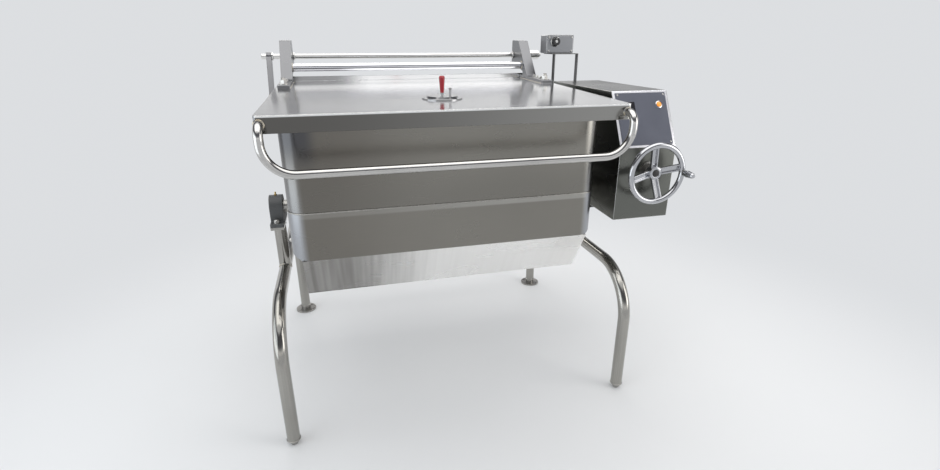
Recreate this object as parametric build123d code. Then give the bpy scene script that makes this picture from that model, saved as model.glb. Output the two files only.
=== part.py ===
from build123d import *
import math
import os

# Floor-standing tilting braising pan on an open tubular leg frame, in millimetres.
# Working axes: x runs to the cook's right from the pan's centreline, y runs back from the
# lid's front edge, and z runs up from the floor. The last section moves the finished
# assembly so that its origin is at the bottom centre of its box.

# Clearances
seat_gap = 0.3
running_gap = 0.08
lid_swing_gap = 6.0

# Pan: a deep well with a thick floor plate and a turned-out rim. The rim rises slightly to
# the rear, and its height is taken at the lid's front edge.
pan_width = 896.0
pan_length = 679.0
pan_wall = 3.5
pan_well_depth = 252.0
pan_floor_thickness = 16.0
pan_corner_radius = 50.0
pan_floor_fillet = 20.0
rim_height = 970.0
rim_slope = 1.6
rim_flange_width = 20.0
rim_flange_thickness = 3.0

# Pouring lip in the middle of the front rim
lip_root_width = 360.0
lip_tip_width = 240.0
lip_reach = 68.0
lip_root_drop = 34.0
lip_tip_drop = 14.0

# Heater jacket below the pan floor
jacket_sheet = 2.0
jacket_flange = 12.0
jacket_seam_step = 2.0
jacket_upper_depth = 135.0
jacket_corner_cut_in = 24.0
jacket_corner_cut_up = 14.0
jacket_lower_depth = 134.0
jacket_front_slope = 80.0
jacket_rear_slope = 20.0
jacket_floor_thickness = 2.0

# Lid: a shallow tray with a skirt on its front and sides, and a turned-up rear edge
lid_side_gap = 13.5
lid_rear_overhang = 15.0
lid_sheet = 2.0
lid_skirt = 42.0
lid_front_overhang = 86.0
lid_corner_radius = 8.0
lid_rear_hem = 17.0

# Lid handle: one bent tube across the front
handle_tube = 22.0
handle_inset = 11.5
handle_standoff = 37.5
handle_drop = 112.0
handle_root_below_top = 21.0
handle_corner_radius = 75.0
handle_root_radius = 28.0

# Lid hinge across the rear
hinge_height_above_rim = 108.0
hinge_behind_lid = 80.0
hinge_tube_diameter = 19.0
hinge_tube_wall = 2.0
hinge_rail_depth = 38.0
hinge_rail_height = 48.0
hinge_rail_wall = 3.0
hinge_rail_below_lid = 5.0
hinge_bracket_radius = 15.0
hinge_bracket_foot = 20.0
hinge_bracket_thickness = 8.0
hinge_bracket_overhang = 2.5
hinge_drum_radius = 18.0
hinge_drum_length = 60.0
hinge_drum_chamfer = 2.0
hinge_post_gap = 28.5
hinge_post_thickness = 18.0
hinge_tube_beyond_post = 15.0
hinge_plug_radius = 11.0
hinge_plug_length = 3.0
hinge_plug_chamfer = 1.0

# Lid arms: folded channels, closed at the front and top, that carry the lid from the hinge
arm_plate = 3.0
arm_outer_offset = 9.5
arm_plate_spacing = 35.0
arm_foot_reach = 332.0
arm_foot_height = 12.0
arm_knee_reach = 172.0
arm_top_above_hinge = 57.0
arm_top_front = 58.0
arm_rear_margin = 17.0
arm_rear_drop = 28.0
arm_neck_reach = 120.0
arm_neck_height = 27.0
arm_heel_inset = 6.0
arm_bend_radius = 24.0
arm_toe_radius = 4.0
arm_top_radius = 8.0
arm_rear_radius = 6.0
cross_tube_diameter = 28.0
cross_tube_wall = 2.0
cross_tube_ahead = 98.0
cross_tube_below = 36.0

# Steam vent on the lid
vent_setback = 212.0
vent_plate_diameter = 116.0
vent_plate_thickness = 3.0
vent_cover_diameter = 92.0
vent_cover_height = 5.0
vent_cover_bevel = 2.5
vent_stem_diameter = 8.0
vent_stem_height = 8.0
vent_knob_length = 46.0
vent_knob_top_diameter = 17.0
vent_knob_bottom_diameter = 11.0
vent_knob_crown_diameter = 11.4
vent_knob_crown_height = 4.2
vent_stud_offset = 24.0
vent_stud_diameter = 7.0
vent_stud_height = 18.0

# Leg frame of bent tube
leg_tube = 38.1
leg_tube_wall = 1.65
leg_bend_radius = 165.0
leg_front_setback = 40.0
leg_rear_behind_pan = 121.0
leg_run_height = 423.0
leg_cap_above_run = 12.0
leg_cap_thickness = 3.0
rear_tie_drop = 47.0
frame_right_offset = 118.0

# Feet
bullet_height = 15.0
bullet_tip_diameter = 20.0
bullet_collar_diameter = 34.0
bullet_collar_height = 2.0
foot_shank_length = 45.0
rear_foot_diameter = 84.0
rear_foot_thickness = 6.0
rear_foot_hole_diameter = 9.0
rear_foot_hole_circle = 62.0
rear_foot_holes = 4
rear_leg_lift = 20.0

# Tilting axis and what carries it
tilt_axis_ahead_of_middle = 25.5
tilt_axis_below_rim = 334.0
trunnion_flange_diameter = 108.0
trunnion_flange_thickness = 8.0
trunnion_shaft_diameter = 40.0
bearing_width = 40.0
bearing_radius = 38.0
bearing_base_length = 136.0
bearing_base_thickness = 12.0
bearing_centre_height = 50.0
post_cap_thickness = 8.0
gear_case_radius = 88.0
gear_case_width = 64.0
gear_shaft_depth = 44.0
gear_window = 32.0

# Console to the right of the pan
console_gap = 73.0
console_width = 190.0
console_sheet = 2.0
console_front_setback = 97.0
console_foot_length = 15.0
console_foot_below_axis = 34.0
console_panel_above_axis = 193.0
console_top_above_axis = 352.0
console_panel_run = 86.0
console_rear_setback = 628.0
console_rear_above_axis = -20.0
console_tunnel_above_axis = 64.0
console_tunnel_half_length = 100.0
console_tunnel_gap = 6.0
panel_side_border = 9.0
panel_end_border = 7.0
panel_thickness = 1.5
supply_entry_diameter = 28.0
supply_entry_above_rear_bottom = 60.0

# Indicator lamp on the sloped panel
lamp_diameter = 16.0
lamp_base_height = 3.0
lamp_lens_diameter = 12.8
lamp_dome_height = 5.6
lamp_inset_right = 37.0
lamp_below_top = 47.0

# Hand wheel
wheel_diameter = 190.0
wheel_rim_thickness = 18.0
wheel_ahead_of_console = 52.0
wheel_above_axis = 122.0
wheel_inset_right = 90.0
wheel_dish = 18.0
wheel_hub_diameter = 40.0
wheel_hub_length = 24.0
wheel_hub_nose = 8.0
wheel_spokes = 4
wheel_spoke_turn = 11.0
wheel_spoke_width = 21.0
wheel_spoke_depth = 9.0
wheel_spoke_web = 3.5
wheel_spoke_rib = 4.0
wheel_shaft_diameter = 20.0
wheel_bush_diameter = 34.0
wheel_bush_flange_diameter = 54.0
wheel_bush_flange = 6.0
wheel_bush_length = 40.0
grip_length = 46.0
grip_diameter = 22.0
grip_shoulder_diameter = 17.6
grip_belly_height = 20.7
grip_end_diameter = 17.0
grip_crown_diameter = 11.4
grip_crown_height = 4.6
grip_neck_diameter = 11.0
grip_neck_length = 6.0

# Switch box on its bracket behind the console
box_gap_to_bracket = 10.0
box_width = 110.0
box_height = 66.0
box_depth = 60.0
box_standoff = 24.0
box_above_console = 100.0
box_corner_radius = 5.0
knob_diameter = 30.0
knob_length = 16.0
knob_from_left = 34.0
knob_below_top = 24.0
knob_edge_radius = 2.0
bracket_sheet = 3.0
bracket_strap_depth = 20.0
bracket_strap_overlap = 80.0
bracket_left_inset = 15.0
bracket_right_outset = 12.0

# Places that follow from the sizes above
lid_width = pan_width + 2 * (rim_flange_width + lid_side_gap + lid_sheet)
lid_depth = lid_front_overhang + pan_length + lid_rear_overhang
lid_underside = rim_height + seat_gap
lid_top = lid_underside + lid_sheet
slope_sine = math.sin(math.radians(rim_slope))
slope_cosine = math.cos(math.radians(rim_slope))
pan_front = lid_front_overhang
pan_rear = pan_front + pan_length
pan_middle = (pan_front + pan_rear) / 2
well_floor = rim_height - pan_well_depth
pan_bottom = well_floor - pan_floor_thickness
jacket_knee = pan_bottom - jacket_upper_depth
jacket_bottom = jacket_knee - jacket_lower_depth
jacket_half_width = pan_width / 2 + jacket_seam_step
band_half_width = pan_width / 2 - jacket_corner_cut_in
hinge_height = rim_height + hinge_height_above_rim
hinge_setback = lid_depth + hinge_behind_lid
hinge_along_lid = hinge_setback * slope_cosine + hinge_height_above_rim * slope_sine
hinge_over_lid = rim_height + hinge_height_above_rim * slope_cosine - hinge_setback * slope_sine
bracket_outer = lid_width / 2 + hinge_bracket_overhang
bracket_inner = bracket_outer - hinge_bracket_thickness
post_inner = -(lid_width / 2 + hinge_post_gap)
post_outer = post_inner - hinge_post_thickness
hinge_tube_left = post_outer - hinge_tube_beyond_post
rail_top = lid_top + pan_rear * slope_sine / slope_cosine - lid_skirt - hinge_rail_below_lid
arm_outer = lid_width / 2 - arm_outer_offset
arm_inner = arm_outer - arm_plate_spacing
frame_left = -(lid_width / 2 + lid_swing_gap + leg_tube / 2)
frame_right = pan_width / 2 + frame_right_offset
tilt_axis_setback = pan_middle - tilt_axis_ahead_of_middle
tilt_axis_height = rim_height - tilt_axis_below_rim
tunnel_roof = tilt_axis_height + console_tunnel_above_axis
console_bottom = tilt_axis_height - console_foot_below_axis
console_panel_bottom = tilt_axis_height + console_panel_above_axis
console_top = tilt_axis_height + console_top_above_axis
console_rear_bottom = tilt_axis_height + console_rear_above_axis
console_left = pan_width / 2 + console_gap
console_right = console_left + console_width
wheel_x = console_right - wheel_inset_right
wheel_height = tilt_axis_height + wheel_above_axis
wheel_rim_setback = console_front_setback - wheel_ahead_of_console
leg_rear_setback = pan_rear + leg_rear_behind_pan
leg_radius = leg_tube / 2
leg_bore_radius = leg_radius - leg_tube_wall


def side_solid(points, x_low, x_high, radii=None):
    """A solid with a side profile of (y, z) points, from x_low to x_high, its corners
    rounded where radii are given."""
    outline = Polygon(*points, align=None)
    if radii:
        outline = make_face(FilletPolyline(*points, radius=radii, close=True))
    face = Plane.YZ.offset(x_low) * outline
    return extrude(face, amount=x_high - x_low, dir=(1, 0, 0))


def plan_solid(points, z_low, z_high):
    """A solid with a plan of (x, y) points, from z_low to z_high."""
    face = Plane.XY.offset(z_low) * Polygon(*points, align=None)
    return extrude(face, amount=z_high - z_low, dir=(0, 0, 1))


def rounded_block(width, front, rear, corner, z_low, z_high):
    """An upright block with rounded corners, centred on the pan's centreline."""
    sketch = RectangleRounded(width, rear - front, corner)
    base = Plane.XY.offset(z_low) * Pos(0, (front + rear) / 2) * sketch
    return extrude(base, amount=z_high - z_low)


def rod_x(radius, x_low, x_high, y, z):
    """A cylinder along x."""
    return extrude(Plane.YZ.offset(x_low) * Pos(y, z) * Circle(radius), amount=x_high - x_low)


def rod_y(radius, y_low, y_high, x, z):
    """A cylinder along y."""
    start = Plane(origin=(x, y_low, z), x_dir=(1, 0, 0), z_dir=(0, 1, 0))
    return extrude(start * Circle(radius), amount=y_high - y_low)


def rod_z(radius, z_low, z_high, x, y):
    """A cylinder along z."""
    return extrude(Plane.XY.offset(z_low) * Pos(x, y) * Circle(radius), amount=z_high - z_low)


def bent_tube(points, radii, radius, bore=0.0):
    """A round tube, or a bar where there is no bore, along straight runs and bends."""
    path = FilletPolyline(*points, radius=radii)
    section = Circle(radius)
    if bore:
        section -= Circle(bore)
    start = Plane(origin=path @ 0, z_dir=path % 0)
    return sweep(start * section, path=path)


def turned(points, axis_x, axis_y):
    """A turned piece on an upright axis, from (radius, z) points."""
    profile = Plane.XZ * Polygon(*points, align=None)
    return Pos(axis_x, axis_y, 0) * revolve(profile, axis=Axis.Z)


def on_rim(piece):
    """Lays a piece that was drawn level on the rim's slope."""
    return piece.rotate(Axis((0, 0, rim_height), (1, 0, 0)), rim_slope)


def pouring_trough(inset):
    """The wedge of the pouring lip, drawn in by a wall thickness for its inside."""
    back = pan_front + pan_wall + inset
    tip = pan_front - lip_reach - inset
    root_z = rim_height - lip_root_drop + inset
    tip_z = rim_height - lip_tip_drop + inset
    top_z = rim_height + inset
    side = side_solid(
        [(back, root_z), (pan_front, root_z), (tip, tip_z), (tip, top_z), (back, top_z)],
        -lip_root_width / 2,
        lip_root_width / 2,
    )
    root = lip_root_width / 2 - inset
    end = lip_tip_width / 2 - inset
    plan = plan_solid(
        [(-root, back), (-root, pan_front), (-end, tip), (end, tip), (root, pan_front), (root, back)],
        root_z - inset,
        top_z,
    )
    return side & plan


def pan_shell():
    """The welded well with its floor plate, turned-out rim and pouring lip."""
    high = rim_height + pan_wall + pan_rear * slope_sine
    outer = rounded_block(pan_width, pan_front, pan_rear, pan_corner_radius, pan_bottom, high)
    above = side_solid(
        [
            (-pan_rear, rim_height),
            (2 * pan_rear, rim_height),
            (2 * pan_rear, 2 * high),
            (-pan_rear, 2 * high),
        ],
        -pan_width,
        pan_width,
    )
    rim = rounded_block(
        pan_width + 2 * rim_flange_width,
        pan_front - rim_flange_width,
        pan_rear + rim_flange_width,
        pan_corner_radius + rim_flange_width,
        rim_height - rim_flange_thickness,
        rim_height,
    )
    well = rounded_block(
        pan_width - 2 * pan_wall,
        pan_front + pan_wall,
        pan_rear - pan_wall,
        pan_corner_radius - pan_wall,
        well_floor,
        high,
    )
    well = fillet(well.edges().group_by(Axis.Z)[0], pan_floor_fillet)
    shell = outer - on_rim(above) + on_rim(rim) + on_rim(pouring_trough(0))
    return shell - well - on_rim(pouring_trough(pan_wall))


def jacket_form(inset, top, bottom):
    """The jacket's outer form, or its inside when drawn in by the sheet."""
    half = jacket_half_width - inset
    front = pan_front - jacket_seam_step + inset
    rear = pan_rear + jacket_seam_step - inset
    corner = pan_corner_radius + jacket_seam_step - inset
    upper = rounded_block(2 * half, front, rear, corner, jacket_knee, top)
    cut_in = jacket_half_width - band_half_width
    for side in (-1, 1):
        edge = side * half
        wedge = Plane.XZ.offset(-rear) * Polygon(
            (edge, jacket_knee),
            (edge - side * cut_in, jacket_knee),
            (edge, jacket_knee + jacket_corner_cut_up),
            align=None,
        )
        upper -= extrude(wedge, amount=rear - front, dir=(0, -1, 0))
    depth = jacket_knee - bottom
    front_slope = jacket_front_slope * depth / jacket_lower_depth
    rear_slope = jacket_rear_slope * depth / jacket_lower_depth
    lower = side_solid(
        [
            (front, jacket_knee),
            (front + front_slope, bottom),
            (rear - rear_slope, bottom),
            (rear, jacket_knee),
        ],
        -band_half_width + inset,
        band_half_width - inset,
    )
    return upper + lower


def heater_jacket():
    """The sheet skirt round the heaters, with a flange that the pan floor stands on."""
    shell = jacket_form(0, pan_bottom, jacket_bottom)
    flange_underside = pan_bottom - jacket_sheet
    shell -= jacket_form(jacket_sheet, flange_underside, jacket_bottom)
    return shell - rounded_block(
        pan_width - 2 * jacket_flange,
        pan_front + jacket_flange,
        pan_rear - jacket_flange,
        pan_corner_radius - jacket_flange,
        flange_underside,
        pan_bottom,
    )


def jacket_floor():
    """The flat cover under the heaters."""
    return side_solid(
        [
            (pan_front - jacket_seam_step + jacket_front_slope, jacket_bottom),
            (pan_rear + jacket_seam_step - jacket_rear_slope, jacket_bottom),
            (pan_rear + jacket_seam_step - jacket_rear_slope, jacket_bottom - jacket_floor_thickness),
            (pan_front - jacket_seam_step + jacket_front_slope, jacket_bottom - jacket_floor_thickness),
        ],
        -band_half_width,
        band_half_width,
    )


def trunnion(side, shaft_end):
    """The flanged stub shaft that the pan tilts on."""
    face = jacket_half_width
    flange_end = face + trunnion_flange_thickness
    ends = sorted((side * face, side * flange_end))
    piece = rod_x(trunnion_flange_diameter / 2, *ends, tilt_axis_setback, tilt_axis_height)
    ends = sorted((side * flange_end, shaft_end))
    return piece + rod_x(trunnion_shaft_diameter / 2, *ends, tilt_axis_setback, tilt_axis_height)


def lid_panel():
    """The folded lid, open below, with its rear edge turned up."""
    corner = lid_corner_radius
    tray = rounded_block(lid_width, 0, lid_depth + corner, corner, lid_top - lid_skirt, lid_top)
    inside = rounded_block(
        lid_width - 2 * lid_sheet,
        lid_sheet,
        lid_depth + 2 * corner,
        corner - lid_sheet,
        lid_top - lid_skirt,
        lid_underside,
    )
    half = lid_width / 2
    back = plan_solid(
        [
            (-half, lid_depth),
            (half, lid_depth),
            (half, lid_depth + 3 * corner),
            (-half, lid_depth + 3 * corner),
        ],
        lid_top - lid_skirt,
        lid_top,
    )
    hem = side_solid(
        [
            (lid_depth - lid_sheet, lid_top),
            (lid_depth, lid_top),
            (lid_depth, lid_top + lid_rear_hem),
            (lid_depth - lid_sheet, lid_top + lid_rear_hem),
        ],
        -half,
        half,
    )
    return on_rim(tray - inside - back + hem)


def lid_handle():
    """The bent tube across the lid's front, butted on its skirt."""
    x = lid_width / 2 - handle_inset
    root = lid_top - handle_root_below_top
    bar = root - handle_drop
    front = -handle_standoff
    points = [
        (-x, 0, root),
        (-x, front, root),
        (-x, front, bar),
        (x, front, bar),
        (x, front, root),
        (x, 0, root),
    ]
    radii = [handle_root_radius, handle_corner_radius, handle_corner_radius, handle_root_radius]
    return on_rim(bent_tube(points, radii, handle_tube / 2))


def lid_arm(side):
    """A folded channel that stands on the lid, bored for the hinge tube."""
    toe = hinge_along_lid - arm_foot_reach
    knee = hinge_along_lid - arm_knee_reach
    crown = hinge_along_lid - arm_top_front
    rear = hinge_along_lid + arm_rear_margin
    neck = hinge_along_lid - arm_neck_reach
    heel = lid_depth - arm_heel_inset
    foot_top = lid_top + arm_foot_height
    top = hinge_over_lid + arm_top_above_hinge
    sheet = arm_plate
    profile = [
        (toe, lid_top),
        (toe, foot_top),
        (knee, foot_top),
        (crown, top),
        (rear, top),
        (rear, hinge_over_lid - arm_rear_drop),
        (neck, lid_top + arm_neck_height),
        (neck, foot_top),
        (heel, foot_top),
        (heel, lid_top),
    ]
    radii = [0, arm_toe_radius, arm_bend_radius, arm_top_radius, arm_top_radius]
    radii += [arm_rear_radius, arm_rear_radius, arm_toe_radius, 0, 0]
    step = sheet * math.tan(math.atan2(top - foot_top, crown - knee) / 2)
    fold_end = rear - arm_top_radius
    fold = [
        (toe, lid_top),
        (toe, foot_top),
        (knee, foot_top),
        (crown, top),
        (fold_end, top),
        (fold_end, top - sheet),
        (crown + step, top - sheet),
        (knee + step, foot_top - sheet),
        (toe + sheet, foot_top - sheet),
        (toe + sheet, lid_top),
    ]
    fold_radii = [0, arm_toe_radius, arm_bend_radius, arm_top_radius, 0, 0]
    fold_radii += [arm_top_radius - sheet, arm_bend_radius + sheet, arm_toe_radius - sheet, 0]
    ends = sorted((side * arm_outer, side * (arm_inner - sheet)))
    piece = side_solid(fold, *ends, fold_radii)
    piece += side_solid(
        [(toe, lid_top), (heel, lid_top), (heel, lid_top + sheet), (toe, lid_top + sheet)], *ends
    )
    for face in (arm_outer, arm_inner):
        piece += side_solid(profile, *sorted((side * face, side * (face - sheet))), radii)
    bore = rod_x(hinge_tube_diameter / 2 + running_gap, *ends, hinge_along_lid, hinge_over_lid)
    return on_rim(piece - bore)


def cross_tube():
    """The tube that ties the two arms together in front of the hinge."""
    end = arm_inner - arm_plate
    y = hinge_setback - cross_tube_ahead
    z = hinge_height - cross_tube_below
    tube = rod_x(cross_tube_diameter / 2, -end, end, y, z)
    return tube - rod_x(cross_tube_diameter / 2 - cross_tube_wall, -end, end, y, z)


def hinge_rail():
    """The box section welded across the pan's rear wall."""
    wall = hinge_rail_wall
    rear = pan_rear + hinge_rail_depth
    low = rail_top - hinge_rail_height
    outer = [(pan_rear, low), (rear, low), (rear, rail_top), (pan_rear, rail_top)]
    inner = [
        (pan_rear + wall, low + wall),
        (rear - wall, low + wall),
        (rear - wall, rail_top - wall),
        (pan_rear + wall, rail_top - wall),
    ]
    section = side_solid(outer, post_outer, bracket_outer)
    return section - side_solid(inner, post_outer, bracket_outer)


def hinge_bracket(low, high):
    """An upright plate on the rail's end that holds the hinge tube."""
    rear = pan_rear + hinge_rail_depth
    plate = side_solid(
        [
            (rear - hinge_bracket_foot, rail_top),
            (rear, rail_top),
            (hinge_setback + hinge_bracket_radius, hinge_height),
            (hinge_setback - hinge_bracket_radius, hinge_height),
        ],
        low,
        high,
    )
    plate += rod_x(hinge_bracket_radius, low, high, hinge_setback, hinge_height)
    return plate - rod_x(
        hinge_tube_diameter / 2 + running_gap, low, high, hinge_setback, hinge_height
    )


def hinge_tube():
    """The fixed tube that the lid's arms turn on."""
    radius = hinge_tube_diameter / 2
    tube = rod_x(radius, hinge_tube_left, bracket_outer, hinge_setback, hinge_height)
    return tube - rod_x(
        radius - hinge_tube_wall, hinge_tube_left, bracket_outer, hinge_setback, hinge_height
    )


def hinge_cap(start, length, radius, bevel):
    """A round end piece on the hinge tube, bevelled at its outer end. A negative length
    runs to the left."""
    cap = rod_x(radius, *sorted((start, start + length)), hinge_setback, hinge_height)
    rims = cap.edges().filter_by(GeomType.CIRCLE).sort_by(Axis.X)
    return chamfer(rims[0] if length < 0 else rims[-1], bevel)


def vent_plate():
    """The round plate of the steam vent."""
    z = lid_top
    return on_rim(rod_z(vent_plate_diameter / 2, z, z + vent_plate_thickness, 0, vent_setback))


def vent_cover():
    """The disc that closes the vent, with the stem of its knob and the stop stud."""
    z = lid_top + vent_plate_thickness
    disc = turned(
        [
            (0, z),
            (vent_cover_diameter / 2, z),
            (vent_cover_diameter / 2 - vent_cover_bevel, z + vent_cover_height),
            (0, z + vent_cover_height),
        ],
        0,
        vent_setback,
    )
    top = z + vent_cover_height
    stem = rod_z(vent_stem_diameter / 2, top, top + vent_stem_height, 0, vent_setback)
    stud = rod_z(vent_stud_diameter / 2, top, top + vent_stud_height, vent_stud_offset, vent_setback)
    return on_rim(disc + stem + stud)


def vent_knob():
    """The tapered knob on the vent cover's stem."""
    z = lid_top + vent_plate_thickness + vent_cover_height + vent_stem_height
    top = z + vent_knob_length
    knob = turned(
        [
            (0, z),
            (vent_knob_bottom_diameter / 2, z),
            (vent_knob_top_diameter / 2, top - vent_knob_crown_height),
            (vent_knob_crown_diameter / 2, top),
            (0, top),
        ],
        0,
        vent_setback,
    )
    return on_rim(knob)


def side_frame(x):
    """A front leg that bends back into the level run, coped to its rear leg."""
    points = [
        (x, leg_front_setback, bullet_height),
        (x, leg_front_setback, leg_run_height),
        (x, leg_rear_setback, leg_run_height),
    ]
    tube = bent_tube(points, [leg_bend_radius], leg_radius, leg_bore_radius)
    low = leg_run_height - leg_tube
    high = leg_run_height + leg_tube
    return tube - rod_z(leg_radius + seat_gap, low, high, x, leg_rear_setback)


def rear_leg(x):
    """The upright rear leg with its welded cap."""
    top = leg_run_height + leg_radius + leg_cap_above_run
    tube = rod_z(leg_radius, rear_leg_lift, top, x, leg_rear_setback)
    bore_top = top - leg_cap_thickness
    return tube - rod_z(leg_bore_radius, rear_leg_lift, bore_top, x, leg_rear_setback)


def rear_tie():
    """The tube between the two rear legs."""
    z = leg_run_height - rear_tie_drop
    tube = rod_x(leg_radius, frame_left, frame_right, leg_rear_setback, z)
    tube -= rod_x(leg_bore_radius, frame_left, frame_right, leg_rear_setback, z)
    for x in (frame_left, frame_right):
        tube -= rod_z(leg_radius + seat_gap, z - leg_tube, z + leg_tube, x, leg_rear_setback)
    return tube


def bearing_post(x):
    """The post under a trunnion bearing, saddled on the level run."""
    base = tilt_axis_height - bearing_centre_height
    cap_low = base - post_cap_thickness
    post = rod_z(leg_radius, leg_run_height, cap_low, x, tilt_axis_setback)
    post -= rod_z(leg_bore_radius, leg_run_height, cap_low, x, tilt_axis_setback)
    reach = leg_tube + seat_gap
    post -= rod_y(
        leg_radius + seat_gap,
        tilt_axis_setback - reach,
        tilt_axis_setback + reach,
        x,
        leg_run_height,
    )
    half = bearing_base_length / 2
    cap = side_solid(
        [
            (tilt_axis_setback - half, cap_low),
            (tilt_axis_setback + half, cap_low),
            (tilt_axis_setback + half, base),
            (tilt_axis_setback - half, base),
        ],
        x - bearing_width / 2,
        x + bearing_width / 2,
    )
    return post + cap


def trunnion_bearing(x):
    """A pillow block on its post."""
    base = tilt_axis_height - bearing_centre_height
    half = bearing_base_length / 2
    low = x - bearing_width / 2
    high = x + bearing_width / 2
    y = tilt_axis_setback
    shoulder = base + bearing_base_thickness
    block = side_solid(
        [(y - half, base), (y + half, base), (y + half, shoulder), (y - half, shoulder)], low, high
    )
    block += side_solid(
        [
            (y - bearing_radius, base),
            (y + bearing_radius, base),
            (y + bearing_radius, tilt_axis_height),
            (y - bearing_radius, tilt_axis_height),
        ],
        low,
        high,
    )
    block += rod_x(bearing_radius, low, high, y, tilt_axis_height)
    bore = trunnion_shaft_diameter / 2 + running_gap
    return block - rod_x(bore, low, high, y, tilt_axis_height)


def bullet_foot(x):
    """A turned foot pushed into a front leg."""
    shank = leg_bore_radius - seat_gap
    return turned(
        [
            (0, 0),
            (bullet_tip_diameter / 2, 0),
            (bullet_collar_diameter / 2, bullet_height - bullet_collar_height),
            (bullet_collar_diameter / 2, bullet_height),
            (shank, bullet_height),
            (shank, bullet_height + foot_shank_length),
            (0, bullet_height + foot_shank_length),
        ],
        x,
        leg_front_setback,
    )


def flanged_foot(x):
    """A turned foot with a flange that bolts to the floor."""
    shank = leg_bore_radius - seat_gap
    neck = leg_radius
    foot = turned(
        [
            (0, 0),
            (rear_foot_diameter / 2, 0),
            (rear_foot_diameter / 2, rear_foot_thickness),
            (neck, rear_foot_thickness),
            (neck, rear_leg_lift),
            (shank, rear_leg_lift),
            (shank, rear_leg_lift + foot_shank_length),
            (0, rear_leg_lift + foot_shank_length),
        ],
        x,
        leg_rear_setback,
    )
    for number in range(rear_foot_holes):
        angle = math.radians(360 / rear_foot_holes * (number + 0.5))
        hole_x = x + rear_foot_hole_circle / 2 * math.cos(angle)
        hole_y = leg_rear_setback + rear_foot_hole_circle / 2 * math.sin(angle)
        foot -= rod_z(rear_foot_hole_diameter / 2, 0, rear_foot_thickness, hole_x, hole_y)
    return foot


def console_profile():
    """The console's side profile, from its front bottom corner round."""
    return [
        (console_front_setback, console_bottom),
        (console_front_setback, console_panel_bottom),
        (console_front_setback + console_panel_run, console_top),
        (console_rear_setback, console_top),
        (console_rear_setback, console_rear_bottom),
        (console_front_setback + console_foot_length, console_bottom),
    ]


def console_tunnel(wall):
    """The recess that clears the bearing and the gear case, with a wall round it."""
    half = console_tunnel_half_length + wall
    y = tilt_axis_setback
    right = frame_right + bearing_width / 2 + gear_case_width + console_tunnel_gap + wall
    return side_solid(
        [
            (y - half, console_bottom - console_tunnel_gap),
            (y + half, console_bottom - console_tunnel_gap),
            (y + half, tunnel_roof + wall),
            (y - half, tunnel_roof + wall),
        ],
        console_left - console_tunnel_gap,
        right,
    )


def gear_case():
    """The worm gear's case on the right trunnion, cut flat on top for the console."""
    low = frame_right + bearing_width / 2
    high = low + gear_case_width
    y = tilt_axis_setback
    reach = 2 * gear_case_radius
    case = rod_x(gear_case_radius, low, high, y, tilt_axis_height)
    case -= side_solid(
        [
            (y - reach, tunnel_roof),
            (y + reach, tunnel_roof),
            (y + reach, tunnel_roof + reach),
            (y - reach, tunnel_roof + reach),
        ],
        low,
        high,
    )
    depth = low + gear_shaft_depth
    return case - rod_x(trunnion_shaft_diameter / 2 + running_gap, low, depth, y, tilt_axis_height)


def console_body():
    """The console's sheet housing, with a recess over the bearing and the gear case."""
    shell = side_solid(console_profile(), console_left, console_right)
    inside = offset(Polygon(*console_profile(), align=None), amount=-console_sheet)
    hollow = extrude(
        Plane.YZ.offset(console_left + console_sheet) * inside,
        amount=console_width - 2 * console_sheet,
        dir=(1, 0, 0),
    )
    shell -= hollow - console_tunnel(console_sheet)
    shell -= console_tunnel(0)
    front = console_front_setback
    shell -= rod_y(wheel_bush_diameter / 2 + seat_gap, front, front + console_sheet, wheel_x, wheel_height)
    y = tilt_axis_setback
    window = gear_window / 2
    middle = frame_right + bearing_width / 2 + gear_case_width / 2
    shell -= side_solid(
        [
            (y - window, tunnel_roof - window),
            (y + window, tunnel_roof - window),
            (y + window, tunnel_roof + window),
            (y - window, tunnel_roof + window),
        ],
        middle - window,
        middle + window,
    )
    return shell - rod_y(
        supply_entry_diameter / 2,
        console_rear_setback - console_sheet,
        console_rear_setback,
        (console_left + console_right) / 2,
        console_rear_bottom + supply_entry_above_rear_bottom,
    )


panel_rise = console_top - console_panel_bottom
panel_length = math.hypot(console_panel_run, panel_rise)
panel_normal = (0, -panel_rise / panel_length, console_panel_run / panel_length)
panel_plane = Plane(
    origin=((console_left + console_right) / 2, console_front_setback, console_panel_bottom),
    x_dir=(1, 0, 0),
    z_dir=panel_normal,
)


def control_panel():
    """The dark overlay plate on the console's sloping face."""
    width = console_width - 2 * panel_side_border
    length = panel_length - 2 * panel_end_border
    sketch = Pos(0, panel_length / 2) * Rectangle(width, length)
    return extrude(panel_plane * sketch, amount=panel_thickness)


def indicator_lamp():
    """The round pilot lamp on the panel."""
    centre = Pos(console_width / 2 - lamp_inset_right, panel_length - lamp_below_top, panel_thickness)
    radius = lamp_diameter / 2
    lens = lamp_lens_diameter / 2
    top = lamp_base_height + lamp_dome_height
    sides = Polyline((0, top), (0, 0), (radius, 0), (radius, lamp_base_height), (lens, lamp_base_height))
    ball = (lens**2 + lamp_dome_height**2) / (2 * lamp_dome_height)
    start = math.degrees(math.asin((ball - lamp_dome_height) / ball))
    dome = CenterArc((0, top - ball), ball, start, 90 - start)
    profile = Plane.XZ * make_face(sides + dome)
    return panel_plane * centre * revolve(profile, axis=Axis.Z)


def wheel_bush():
    """The flanged bush that carries the hand wheel's shaft."""
    front = console_front_setback
    bush = rod_y(wheel_bush_flange_diameter / 2, front - wheel_bush_flange, front, wheel_x, wheel_height)
    bush += rod_y(wheel_bush_diameter / 2, front, front + wheel_bush_length, wheel_x, wheel_height)
    return bush - rod_y(
        wheel_shaft_diameter / 2 + running_gap,
        front - wheel_bush_flange,
        front + wheel_bush_length,
        wheel_x,
        wheel_height,
    )


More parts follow.
